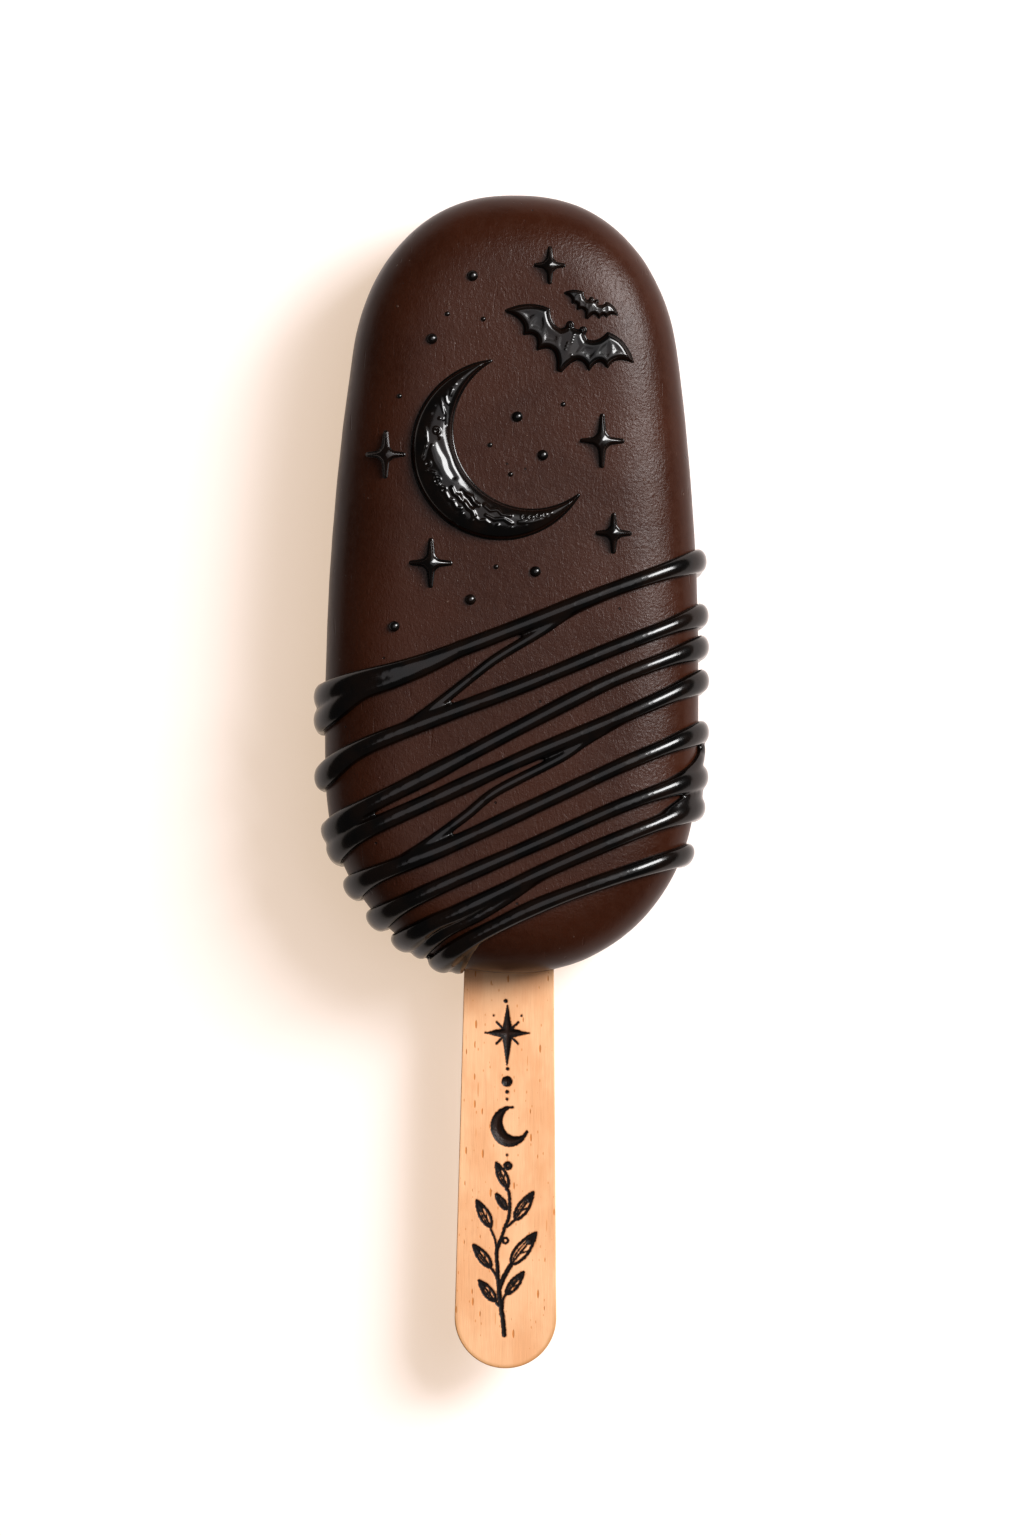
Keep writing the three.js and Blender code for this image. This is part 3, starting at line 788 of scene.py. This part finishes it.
# Moon
MOON_ARC_POINTS = 140
MOON_EDGE = 0.3
MOON_CREST = 0.36  # share of the way from the inner edge to the outer one
MOON_INNER_WALL = 0.36  # heights at the edges, as a share of the crest's
MOON_OUTER_WALL = 0.2
MOON_ROUNDNESS = 2.2
MOON_WAVES = ((0.35, 0.04),)
MOON_SEED = 11.0
MOON_RELIEF = 1.15
MOON_RING = 0.16
MOON_RING_HOLLOW = 0.1
MOON_DOT = 0.8  # height of a dot, as a share of its radius
MOON_OUTER_MARGIN = (0.7, 1.4)  # the relief fades in between these depths
MOON_INNER_MARGIN = (0.35, 0.75)

# Its moulded relief: strokes as height, width and points, then rings and dots as place and radius.
MOON_STROKES = [
    (-0.14, 0.4, (-9.3, 17.2), (-8.9, 16.2), (-8.3, 15.1), (-8, 14), (-7.4, 13)),
    (0.08, 0.5, (-10.1, 16.3), (-9.7, 15), (-9, 14.1), (-8.5, 13.2)),
    (0.1, 0.14, (-7.7, 23.7), (-7.9, 23)),
    (0.1, 0.14, (-8.5, 22.9), (-8.4, 22.2), (-8.1, 21.9)),
    (0.08, 0.16, (-9.2, 22.8), (-8.9, 21.7), (-8.6, 20.6)),
    (-0.08, 0.2, (-8.6, 21.6), (-8.3, 20.6), (-8.3, 19.4)),
    (0.1, 0.18, (-9.7, 18.9), (-9.3, 18.4), (-9.2, 17.9)),
    (0.15, 0.16, (-11.1, 19.2), (-10.8, 18.4), (-10.7, 17.2), (-11, 16.1), (-11.3, 15)),
    (0.12, 0.15, (-11, 13.9), (-10.4, 13.6), (-9.7, 13.4)),
    (0.17, 0.18, (-9.7, 13), (-9.4, 12.6), (-9.3, 12), (-8.9, 11.8)),
    (0.16, 0.18, (-8.3, 10.9), (-8, 10.3), (-7.5, 10.1)),
    (0.2, 0.22, (-7.6, 11.6), (-7.3, 10.9), (-6.8, 10.6), (-6.5, 10.1)),
    (0.17, 0.2, (-7.3, 9.7), (-7, 9.2), (-6.5, 9.1)),
    (0.2, 0.24, (-6, 9.8), (-5.6, 9.2), (-5.1, 8.9), (-4.8, 8.3)),
    (0.16, 0.2, (-4.8, 8.1), (-4.2, 7.6), (-3.5, 7.7), (-3, 7.3)),
    (0.2, 0.22, (-5.8, 10.8), (-5.2, 10.5), (-4.9, 9.9), (-4.3, 9.5)),
    (-0.2, 0.3, (-6.4, 11.2), (-5.7, 10.3), (-5, 9.4)),
    (0.18, 0.2, (-3.6, 9.5), (-2.9, 8.9), (-2, 9), (-1.4, 8.4), (-0.4, 8.3)),
    (0.16, 0.18, (-3.4, 8.3), (-2.4, 7.8), (-1.2, 7.9), (-0.2, 7.3)),
    (0.14, 0.16, (0.6, 7.5), (2.2, 7.5), (4.2, 8)),
]
MOON_RINGS = [
    (-9.4, 12.5, 0.42), (1.3, 8.1, 0.3), (2.1, 8.1, 0.26), (3, 8.3, 0.26), (3.8, 8.4, 0.22),
    (-9.5, 18.6, 0.35), (-8.6, 11.4, 0.3), (-10.6, 14.6, 0.32),
]
MOON_DOTS = [
    (-5.2, 26.2, 0.18), (-6, 25.7, 0.2), (-6.7, 25.1, 0.22), (-7.4, 24.4, 0.22), (-9.3, 23.3, 0.24),
    (-9.9, 21.8, 0.15), (-10.3, 20.8, 0.15), (-9.2, 20.1, 0.16), (-8.8, 20, 0.14), (-10.1, 16.8, 0.14),
    (-10.9, 17.9, 0.12), (-10.8, 16.6, 0.12), (-11.2, 15.5, 0.12), (-10.7, 13.8, 0.12), (-10.1, 13.5, 0.12),
    (4.6, 8.6, 0.18), (5.4, 8.9, 0.15), (6.2, 9.4, 0.13), (-1.9, 7, 0.26), (-0.2, 6.7, 0.24),
    (1.7, 7, 0.24), (-5, 7.6, 0.26), (-6.3, 8.4, 0.24),
]


def moon_arc(circle, other, turns_away):
    """The stretch of one of the moon's circles between its tips."""
    x, y, radius = circle
    apart = math.hypot(other[0] - x, other[1] - y)
    reach = (radius**2 - other[2] ** 2 + apart**2) / (2 * apart)
    to_other = math.atan2(other[1] - y, other[0] - x)
    opening = math.acos(reach / radius)
    start = opening if turns_away else -opening
    end = 2 * math.pi - opening if turns_away else opening
    return arc(x, y, radius, to_other + np.linspace(start, end, MOON_ARC_POINTS))


def moon_relief(plan):
    relief = np.zeros(len(plan))
    for height, width, *points in MOON_STROKES:
        relief += height * bump(line_distance(plan, points), width)
    for x, y, radius in MOON_RINGS:
        away = away_from(plan, x, y)
        relief += MOON_RING * bump(away - radius, THIN_RIM) - MOON_RING_HOLLOW * bump(away, 0.8 * radius)
    for x, y, radius in MOON_DOTS:
        relief += MOON_DOT * radius * bump(away_from(plan, x, y), radius)
    return relief


def make_moon(material):
    inner = moon_arc(MOON_INNER, MOON_OUTER, False)
    line = np.vstack([moon_arc(MOON_OUTER, MOON_INNER, True), inner[-2:0:-1]])
    widest = MOON_OUTER[2] - MOON_INNER[2] + math.dist(MOON_OUTER[:2], MOON_INNER[:2])

    def height(plan, depth):
        from_inner = away_from(plan, *MOON_INNER[:2]) - MOON_INNER[2]
        from_outer = MOON_OUTER[2] - away_from(plan, *MOON_OUTER[:2])
        width = np.maximum(from_inner + from_outer, 1e-3)
        across = from_inner / width
        full = GAP + MOON_TIP_HEIGHT + (MOON_HEIGHT - MOON_TIP_HEIGHT) * (width / widest) ** 0.6
        inner_side = MOON_INNER_WALL + (1 - MOON_INNER_WALL) * rounded(across / MOON_CREST)
        to_edge = rounded((1 - across) / (1 - MOON_CREST), MOON_ROUNDNESS)
        outer_side = MOON_OUTER_WALL + (1 - MOON_OUTER_WALL) * to_edge
        form = np.where(across < MOON_CREST, inner_side, outer_side) * rounded((depth + 0.02) / MOON_EDGE)
        inside = fade(from_outer, *MOON_OUTER_MARGIN) * fade(from_inner, *MOON_INNER_MARGIN)
        rolling = waves(plan, MOON_WAVES, MOON_SEED)
        return full * form + inside * (MOON_RELIEF * moon_relief(plan) + rolling)

    raise_piece("crescent_moon_relief", "crescent_moon", material, line, height, passes=6)


# The burnt drawing on the stick. Its parts are drawn as distances, which are below 0 inside the burnt lines.
# A stalk is given by its half width and points, a leaf by its base, its tip and its width.
SPRIG_STALKS = [
    (0.27, (-0.05, -92.7), (-0.25, -90.6), (-0.5, -89.2), (-0.75, -87.3)),
    (0.22, (-0.75, -87.3), (-0.97, -84.4), (-1.09, -82.4), (-0.6, -80.9)),
    (0.19, (-0.6, -80.9), (-0.1, -79.4), (0.42, -77.8), (0.4, -75.3), (0.05, -74.6)),
    (0.15, (-0.25, -79.5), (0.5, -79), (1.25, -78.3)),
    (0.13, (-1.09, -82.4), (-1.3, -80.9), (-1.85, -79.6)),
    (0.16, (-0.8, -86.4), (-1.2, -85.2), (-1.9, -84.3)),
    (0.27, (-0.7, -87), (-0.2, -85.6), (0.75, -83.9)),
    (0.16, (-0.4, -89), (-0.2, -88.2), (0.2, -87.5)),
    (0.16, (-0.5, -89.3), (-0.9, -88.9), (-1.3, -88.3)),
    (0.22, (-0.45, -90.1), (-0.35, -89), (-0.3, -88.6)),
]
SPRIG_LEAVES = [
    ((0.2, -74.4), (-1.25, -71.4), 1.4),
    ((0.05, -77.1), (-1.2, -75.3), 1.05),
    ((1.15, -78.4), (3.35, -75), 1.6),
    ((-1.85, -79.3), (-3.6, -76.1), 1.5),
    ((-1.8, -84.3), (-3.95, -81.6), 1.45),
    ((0.75, -83.9), (3.75, -80), 1.9),
    ((0.2, -87.6), (2.25, -84.9), 1.35),
    ((-1.2, -88.5), (-3.2, -86), 1.4),
]
LEAF_FORM = 0.8
LEAF_LINE = 0.17
LEAF_VEIN = 0.11
LEAF_STEPS = 16
LEAF_TIP = 12  # the leaf is burnt all over from this step of its middle line on
BURNT_DOTS = [
    (-0.27, -51.35, 0.24), (0.03, -59.75, 0.2), (-0.03, -61.3, 0.66), (0, -62.6, 0.22), (0, -63.5, 0.17),
    (0.07, -70.4, 0.15), (-1.75, -53.15, 0.12), (1.7, -53.15, 0.12), (-2.75, -55.3, 0.13), (2.6, -55.3, 0.1),
]
BURNT_RINGS = [(0.19, -71.75, 0.55, 0.07), (-0.03, -81, 0.45, 0.2)]  # place, radius and pale middle
BURNT_STAR = {
    "centre": (-0.05, -55.3), "up": 3.4, "down": 3.95, "left": 2.6, "right": 2.55, "inner": 0.53,
    "short": 1.33, "short_width": 0.12,
}
BURNT_MOON = {
    "centre": (0.35, -66.87), "squeeze": 0.936, "radius": 2.5, "hollow": (0.9, 0.62), "hollow_radius": 1.85,
    "horns": [(0.13, (-0.1, 2.36), (0.4, 2.36)), (0.18, (1.9, -1.2), (2.27, -0.66))],
}
BURNT_ROUNDING = 0.06
BURNT_PLACE = (-0.1, -0.2)
ENGRAVING = 0.09
ENGRAVING_STARTS = 0.05  # this far outside the burnt lines
ENGRAVING_WALL = 0.2
ENGRAVING_MORE = 0.176
ENGRAVING_DEEPENS = (0.1, 0.9)  # between these depths inside them


def star_distance(plan):
    star = BURNT_STAR
    inner = star["inner"]
    centre = np.array(star["centre"])
    line = closed(centre + [
        (0, star["up"]), (inner, inner), (star["right"], 0), (inner, -inner),
        (0, -star["down"]), (-inner, -inner), (-star["left"], 0), (-inner, inner),
    ])
    distance = line_distance(plan, line)
    distance = np.where(inside_of(plan, line), -distance, distance) - BURNT_ROUNDING
    for way in ((1, 1), (-1, 1)):
        reach = np.array(way) * star["short"]
        ray = line_distance(plan, [centre - reach, centre + reach]) - star["short_width"]
        distance = np.minimum(distance, ray)
    return distance


def burnt_moon_distance(plan):
    """A crescent between two circles, a little narrower than it is high, with blunt horns."""
    moon = BURNT_MOON
    plan = (plan - moon["centre"]) / (moon["squeeze"], 1)
    outer = away_from(plan, 0, 0) - moon["radius"]
    hollow = moon["hollow_radius"] - away_from(plan, *moon["hollow"])
    horns = [line_distance(plan, points) - width for width, *points in moon["horns"]]
    first, last = [np.array(points[-1]) for _, *points in moon["horns"]]
    beyond = (plan - first) @ (first[1] - last[1], last[0] - first[0]) / np.linalg.norm(last - first)
    return np.minimum.reduce([np.maximum.reduce([outer, hollow, beyond]), *horns])


def leaf_distance(plan, base, tip, width):
    way = np.subtract(tip, base)
    across = np.array([-way[1], way[0]]) / np.linalg.norm(way)
    share = np.linspace(0, 1, LEAF_STEPS + 1)
    half = (width / 2 - LEAF_LINE) * np.sin(np.pi * share**LEAF_FORM) ** LEAF_FORM
    middle = base + share[:, None] * way
    sides = [middle + half[:, None] * across, middle - half[:, None] * across]
    between = 0.55 * middle + 0.45 * sides[0]
    parts = [line_distance(plan, side) - LEAF_LINE for side in sides]
    parts.append(line_distance(plan, middle[:LEAF_TIP]) - LEAF_VEIN)
    for side_vein in (between[2:LEAF_TIP], [middle[5], sides[1][9]]):
        parts.append(line_distance(plan, side_vein) - 0.7 * LEAF_VEIN)
    parts += [away_from(plan, *middle[k]) - half[k] for k in range(LEAF_TIP, LEAF_STEPS)]
    return np.minimum.reduce(parts)


def burnt_distance(plan):
    plan = plan - BURNT_PLACE
    parts = [star_distance(plan), burnt_moon_distance(plan)]
    parts += [curve_distance(plan, points) - width for width, *points in SPRIG_STALKS]
    parts += [leaf_distance(plan, *leaf) for leaf in SPRIG_LEAVES]
    parts += [away_from(plan, x, y) - radius for x, y, radius in BURNT_DOTS]
    for x, y, radius, hole in BURNT_RINGS:
        away = away_from(plan, x, y)
        parts.append(np.maximum(away - radius, hole - away))
    return np.minimum.reduce(parts)


# Stick
STICK_ROW = 0.1
STICK_COLUMNS = 129
STICK_EDGE_COLUMNS = (0.986, 0.995, 1)  # shares of the half width
STICK_TURN_ROWS = 50
STICK_HIDDEN_ROWS = 40
STICK_WAVES = ((2.4, 0.008), (5.0, 0.003))
STICK_SEED = 5.0
FAR_FROM_BURNT = 9.0
# The browner edge of the round end is painted shade.
STICK_RIM_SHADE = 0.5  # the round end is browner this near its edge, which fades in between these levels
STICK_RIM_SHADE_LEVELS = (-86, -92)


def stick_half_width(y):
    share = (STICK_TIP_Y - y) / (STICK_TIP_Y + HALF_LENGTH)
    return (STICK_WIDTH_AT_TIP + (STICK_WIDTH_AT_BAR - STICK_WIDTH_AT_TIP) * share) / 2


def stick_rows(tip_radius, inner_radius):
    """Levels along the stick with the half width at each, from its round tip to its round end in the bar."""
    turn = np.linspace(0.03, np.pi / 2, STICK_TURN_ROWS)
    tip = np.column_stack([STICK_TIP_Y + tip_radius * (1 - np.cos(turn)), tip_radius * np.sin(turn)])
    levels = np.arange(STICK_TIP_Y + tip_radius + STICK_ROW, -HALF_LENGTH, STICK_ROW)
    hidden = np.linspace(-HALF_LENGTH, STICK_INNER_Y - inner_radius - 0.5, STICK_HIDDEN_ROWS)
    levels = np.concatenate([levels, hidden])
    straight = np.column_stack([levels, stick_half_width(levels)])
    inner = np.column_stack([STICK_INNER_Y - inner_radius * (1 - np.cos(turn)), inner_radius * np.sin(turn)])
    return np.vstack([tip, straight, inner[::-1]])


def make_stick(material):
    tip_radius = stick_half_width(STICK_TIP_Y + STICK_WIDTH_AT_TIP / 2)
    inner_radius = stick_half_width(STICK_INNER_Y)
    rows = stick_rows(tip_radius, inner_radius)
    edge = np.array(STICK_EDGE_COLUMNS)
    inner = np.linspace(-0.975, 0.975, STICK_COLUMNS - 2 * len(edge))
    across = np.concatenate([-edge[::-1], inner, edge])
    y, half = np.repeat(rows, STICK_COLUMNS, axis=0).T
    x = np.tile(across, len(rows)) * half
    plan = np.column_stack([x, y])
    from_tip = tip_radius - away_from(plan, 0, STICK_TIP_Y + tip_radius)
    from_inner = inner_radius - away_from(plan, 0, STICK_INNER_Y - inner_radius)
    depth = np.where(y < STICK_TIP_Y + tip_radius, from_tip, half - np.abs(x))
    depth = np.where(y > STICK_INNER_Y - inner_radius, from_inner, depth)
    thick = STICK_THICKNESS / 2 - STICK_EDGE + STICK_EDGE * rounded(depth / STICK_EDGE)
    burnt = burnt_distance(plan)
    cut = ENGRAVING * rounded((ENGRAVING_STARTS - burnt) / ENGRAVING_WALL)
    cut += ENGRAVING_MORE * fade(-burnt, *ENGRAVING_DEEPENS)
    fibres = waves(plan * (1, 0.05), STICK_WAVES, STICK_SEED)
    relief = fibres * fade(depth, 0, STICK_EDGE)
    top = np.column_stack([plan, STICK_MID_Z + thick + relief - cut])
    under = np.column_stack([plan, STICK_MID_Z - thick - relief])
    total = len(top)
    faces = grid_solid(np.ones(total, bool), (len(rows), STICK_COLUMNS))[:, ::-1]
    piece = raw_piece("wooden_stick", (np.vstack([top, under]), faces))
    add_values(piece.data, "burnt", np.concatenate([burnt, np.full(total, FAR_FROM_BURNT)]))
    # The rim share marks where shade is painted along the round end's edge.
    rim = fade(depth, STICK_RIM_SHADE, 0) * fade(y, *STICK_RIM_SHADE_LEVELS)
    add_values(piece.data, "rim", np.concatenate([rim, rim]))
    finish_piece(piece, material, "birch_stick", "stick")


# Materials
def new_material(name):
    material = bpy.data.materials.new(name)
    material.use_nodes = True
    tree = material.node_tree
    shader = tree.nodes["Principled BSDF"]
    return material, tree, shader


def give(node, values):
    """Links outputs to a node's inputs, or sets the inputs to plain values."""
    for name, value in values.items():
        if isinstance(value, bpy.types.NodeSocket):
            node.id_data.links.new(value, node.inputs[name])
        else:
            node.inputs[name].default_value = value
    return node


def node_after(output, kind):
    """A new node in the tree that an output belongs to."""
    return output.id_data.nodes.new("ShaderNode" + kind)


def calculated(operation, first, second=0):
    node = node_after(first, "Math")
    node.operation = operation
    return give(node, {0: first, 1: second}).outputs[0]


def product(first, second):
    return calculated("MULTIPLY", first, second)


def ranged(value, low, high, to_low=0, to_high=1):
    """Runs smoothly from to_low to to_high while a value goes from low to high."""
    node = node_after(value, "MapRange")
    node.interpolation_type = "SMOOTHSTEP"
    give(node, {"Value": value, "From Min": low, "From Max": high, "To Min": to_low, "To Max": to_high})
    return node.outputs["Result"]


def mixed(share, first, second):
    """A mix of two colours."""
    node = node_after(share, "Mix")
    node.data_type = "RGBA"
    return give(node, {0: share, 6: first, 7: second}).outputs[2]


def placed(tree, stretch=(1, 1), turn=0):
    """The place on the object in millimetres, turned in the plan and then stretched."""
    values = {
        "Vector": tree.nodes.new("ShaderNodeTexCoord").outputs["Object"],
        "Rotation": (0, 0, math.radians(turn)),
        "Scale": [value / MM for value in (*stretch, 1)],
    }
    return give(tree.nodes.new("ShaderNodeMapping"), values).outputs["Vector"]


def noise_of(place, scale, detail, roughness, distortion=0):
    values = {"Vector": place, "Scale": scale, "Detail": detail, "Roughness": roughness}
    node = give(node_after(place, "TexNoise"), {**values, "Distortion": distortion})
    return node.outputs["Fac"]


def specks_of(place, scale, radius, share, dimensions="2D"):
    """Round specks: 1 in the middle of some of the pattern's cells, and 0 outside the radius."""
    node = node_after(place, "TexVoronoi")
    node.voronoi_dimensions = dimensions
    give(node, {"Vector": place, "Scale": scale})
    parts = give(node_after(place, "SeparateColor"), {"Color": node.outputs["Color"]})
    size = ranged(parts.outputs[0], 1 - share, 1, 0, radius)
    near = calculated("SUBTRACT", size, node.outputs["Distance"])
    return ranged(near, 0, 0.35 * radius)


def value_of(tree, name):
    node = tree.nodes.new("ShaderNodeAttribute")
    node.attribute_name = name
    return node.outputs["Fac"]


def dress(shader, colour, specular, roughness, height, grain):
    """Gives the shader its colour, its reflection and a grain of the given height and depth."""
    node = give(node_after(height, "Bump"), {"Height": height, "Distance": grain * MM})
    values = {"Base Color": colour, "Specular IOR Level": specular, "Roughness": roughness}
    give(shader, {**values, "Normal": node.outputs["Normal"]})


def chocolate_material():
    material, tree, shader = new_material("dark_chocolate")
    place = placed(tree)
    clouds = noise_of(place, 0.06, 3, 0.55)
    mottle = noise_of(place, 0.9, 4, 0.65)
    dust = specks_of(place, 0.62, 0.13, 0.3, "3D")
    pits_with_shade = specks_of(placed(tree, turn=40), 0.5, 0.1, 0.3, "3D")
    colour = mixed(ranged(clouds, 0.35, 0.65), SHELL_DEEP, SHELL_WARM)
    colour = mixed(ranged(mottle, 0.3, 0.75, 0, 0.5), colour, SHELL_PALE)
    colour = mixed(product(dust, 0.3), colour, SHELL_DUST)
    # Painted shade: the pits are darkened in colour as well as dented in the bump below.
    colour = mixed(product(pits_with_shade, 0.8), colour, SHELL_PIT_SHADE)
    rough = ranged(mottle, 0.3, 0.7, *SHELL_ROUGHNESS)
    fine = noise_of(place, 2.6, 3, 0.6, 0.3)
    creases = noise_of(placed(tree, (1.9, 0.75), turn=25), 1, 3, 0.6, 0.8)
    scratches = noise_of(placed(tree, (2.6, 0.3), turn=4), 1, 0, 0.5, 0.4)
    ridged = calculated("ABSOLUTE", calculated("SUBTRACT", creases, 0.5))
    height = calculated("ADD", fine, product(ridged, 1.6))
    height = product(height, value_of(tree, "grain"))
    grooves = ranged(scratches, 0.78, 0.84, 0, 0.4)
    dents = product(pits_with_shade, 1.2)
    height = calculated("SUBTRACT", height, calculated("ADD", grooves, dents))
    height = calculated("ADD", height, dust)
    dress(shader, colour, SHELL_SPECULAR, rough, height, SHELL_GRAIN)
    return material


def glaze_material():
    material, tree, shader = new_material("black_glaze")
    place = placed(tree)
    clouds = noise_of(place, 0.25, 3, 0.6)
    colour = mixed(ranged(clouds, 0.35, 0.65), GLAZE_BLACK, GLAZE_BROWN)
    film = noise_of(place, 0.7, 3, 0.6)
    rough = ranged(film, 0.3, 0.7, *GLAZE_ROUGHNESS)
    ripple = noise_of(place, 1.6, 2, 0.5)
    give(shader, {"IOR": GLAZE_IOR})
    dress(shader, colour, GLAZE_SPECULAR, rough, ripple, GLAZE_GRAIN)
    return material


def wood_material():
    material, tree, shader = new_material("birch_wood")
    along = placed(tree, (1, 0.06))
    grain = noise_of(along, 0.8, 4, 0.6, 0.9)
    fibres = noise_of(along, 4, 3, 0.65, 0.2)
    clouds = noise_of(placed(tree, (1, 0.4)), 0.25, 3, 0.6)
    flecks = specks_of(placed(tree, (1, 0.25)), 1, 0.16, 0.5)
    ticks = specks_of(placed(tree, (1, 0.45), turn=3), 1.3, 0.14, 0.4)
    streaks = specks_of(placed(tree, (1, 0.1), turn=-1), 0.8, 0.09, 0.5)
    colour = mixed(ranged(clouds, 0.35, 0.65), WOOD_PALE, WOOD_PEACH)
    colour = mixed(ranged(grain, 0.55, 0.8, 0, 0.2), colour, WOOD_ORANGE)
    colour = mixed(ranged(fibres, 0.4, 0.7, 0, 0.03), colour, WOOD_ORANGE)
    for specks, strength in ((flecks, 0.8), (ticks, 0.55), (streaks, 0.45)):
        colour = mixed(product(specks, strength), colour, WOOD_FLECK)
    # Painted shade along the edge of the round end.
    colour = mixed(product(value_of(tree, "rim"), 0.9), colour, WOOD_RIM_SHADE)
    burnt = value_of(tree, "burnt")
    uneven = noise_of(placed(tree), 3, 3, 0.6)
    ragged = calculated("ADD", burnt, ranged(uneven, 0.3, 0.7, -0.04, 0.04))
    colour = mixed(ranged(ragged, 0, 0.16, 0.7, 0), colour, WOOD_SCORCH)
    black = mixed(ranged(ragged, -0.5, -0.25, 0.22, 0), WOOD_BURNT, WOOD_CHAR)
    colour = mixed(ranged(ragged, -0.03, 0.05, 1, 0), colour, black)
    rough = ranged(ragged, -0.1, 0.1, BURNT_ROUGHNESS, WOOD_ROUGHNESS)
    lines = calculated("ADD", fibres, product(grain, 0.5))
    char = product(ranged(burnt, -0.1, 0.05, 1, 0), uneven)
    height = calculated("SUBTRACT", calculated("ADD", lines, char), flecks)
    dress(shader, colour, WOOD_SPECULAR, rough, height, WOOD_GRAIN)
    return material


# Camera, floor and light
def add_camera():
    data = bpy.data.cameras.new("camera")
    data.lens = LENS
    data.sensor_width = SENSOR
    distance = VIEW_HEIGHT * LENS / SENSOR
    camera = in_scene("camera", data)
    camera.location = Vector((*VIEW_CENTRE, VIEW_LEVEL + distance)) * MM
    camera.rotation_euler = (0, 0, VIEW_TURN)
    bpy.context.scene.camera = camera


def add_floor():
    bm = bmesh.new()
    bmesh.ops.create_circle(bm, cap_ends=True, radius=FLOOR_RADIUS, segments=96)
    floor = drawn_piece("floor", bm)
    material, tree, shader = new_material("pale_floor")
    away = tree.nodes.new("ShaderNodeVectorMath")
    away.operation = "LENGTH"
    give(away, {0: tree.nodes.new("ShaderNodeTexCoord").outputs["Object"]})
    far = ranged(away.outputs["Value"], *FLOOR_FADE)
    colour = mixed(far, FLOOR_NEAR, FLOOR_FAR)
    glow = mixed(far, FLOOR_GLOW_NEAR, FLOOR_GLOW_FAR)
    give(shader, {"Base Color": colour, "Roughness": FLOOR_ROUGHNESS, "Specular IOR Level": 0})
    # The glow is painted light that brightens the floor where the bar shades it.
    give(shader, {"Emission Color": glow, "Emission Strength": 1})
    floor.data.materials.append(material)


def add_light(name, azimuth, elevation, distance, width, height, power, colour):
    """A soft box that looks at the bar."""
    data = bpy.data.lights.new(name, "AREA")
    data.shape = "RECTANGLE"
    data.size = width
    data.size_y = height
    data.energy = power
    data.color = colour
    lamp = in_scene(name, data)
    a = math.radians(azimuth)
    e = math.radians(elevation)
    way = Vector((math.cos(a) * math.cos(e), math.sin(a) * math.cos(e), math.sin(e)))
    lamp.location = way * distance
    lamp.rotation_euler = way.to_track_quat("Z", "Y").to_euler()
    lamp.visible_camera = False


def add_world():
    world = bpy.data.worlds.new("studio")
    bpy.context.scene.world = world
    world.use_nodes = True
    give(world.node_tree.nodes["Background"], {"Color": WORLD_COLOUR, "Strength": WORLD_STRENGTH})


add_camera()
chocolate = chocolate_material()
glaze = glaze_material()
wood = wood_material()
make_shell(chocolate)
make_drizzle(glaze)
make_dots(glaze)
make_moon(glaze)
for bat_name, bat in BATS.items():
    make_bat(bat_name, bat, glaze)
for star_index, star in enumerate(STARS, 1):
    make_star(f"star_{star_index}", star, glaze)
make_stick(wood)
add_floor()
add_world()
for light_name, light in LIGHTS.items():
    add_light(light_name, *light)
settings = bpy.context.scene.view_settings
settings.view_transform = "Standard"
settings.exposure = EXPOSURE
settings.gamma = GAMMA
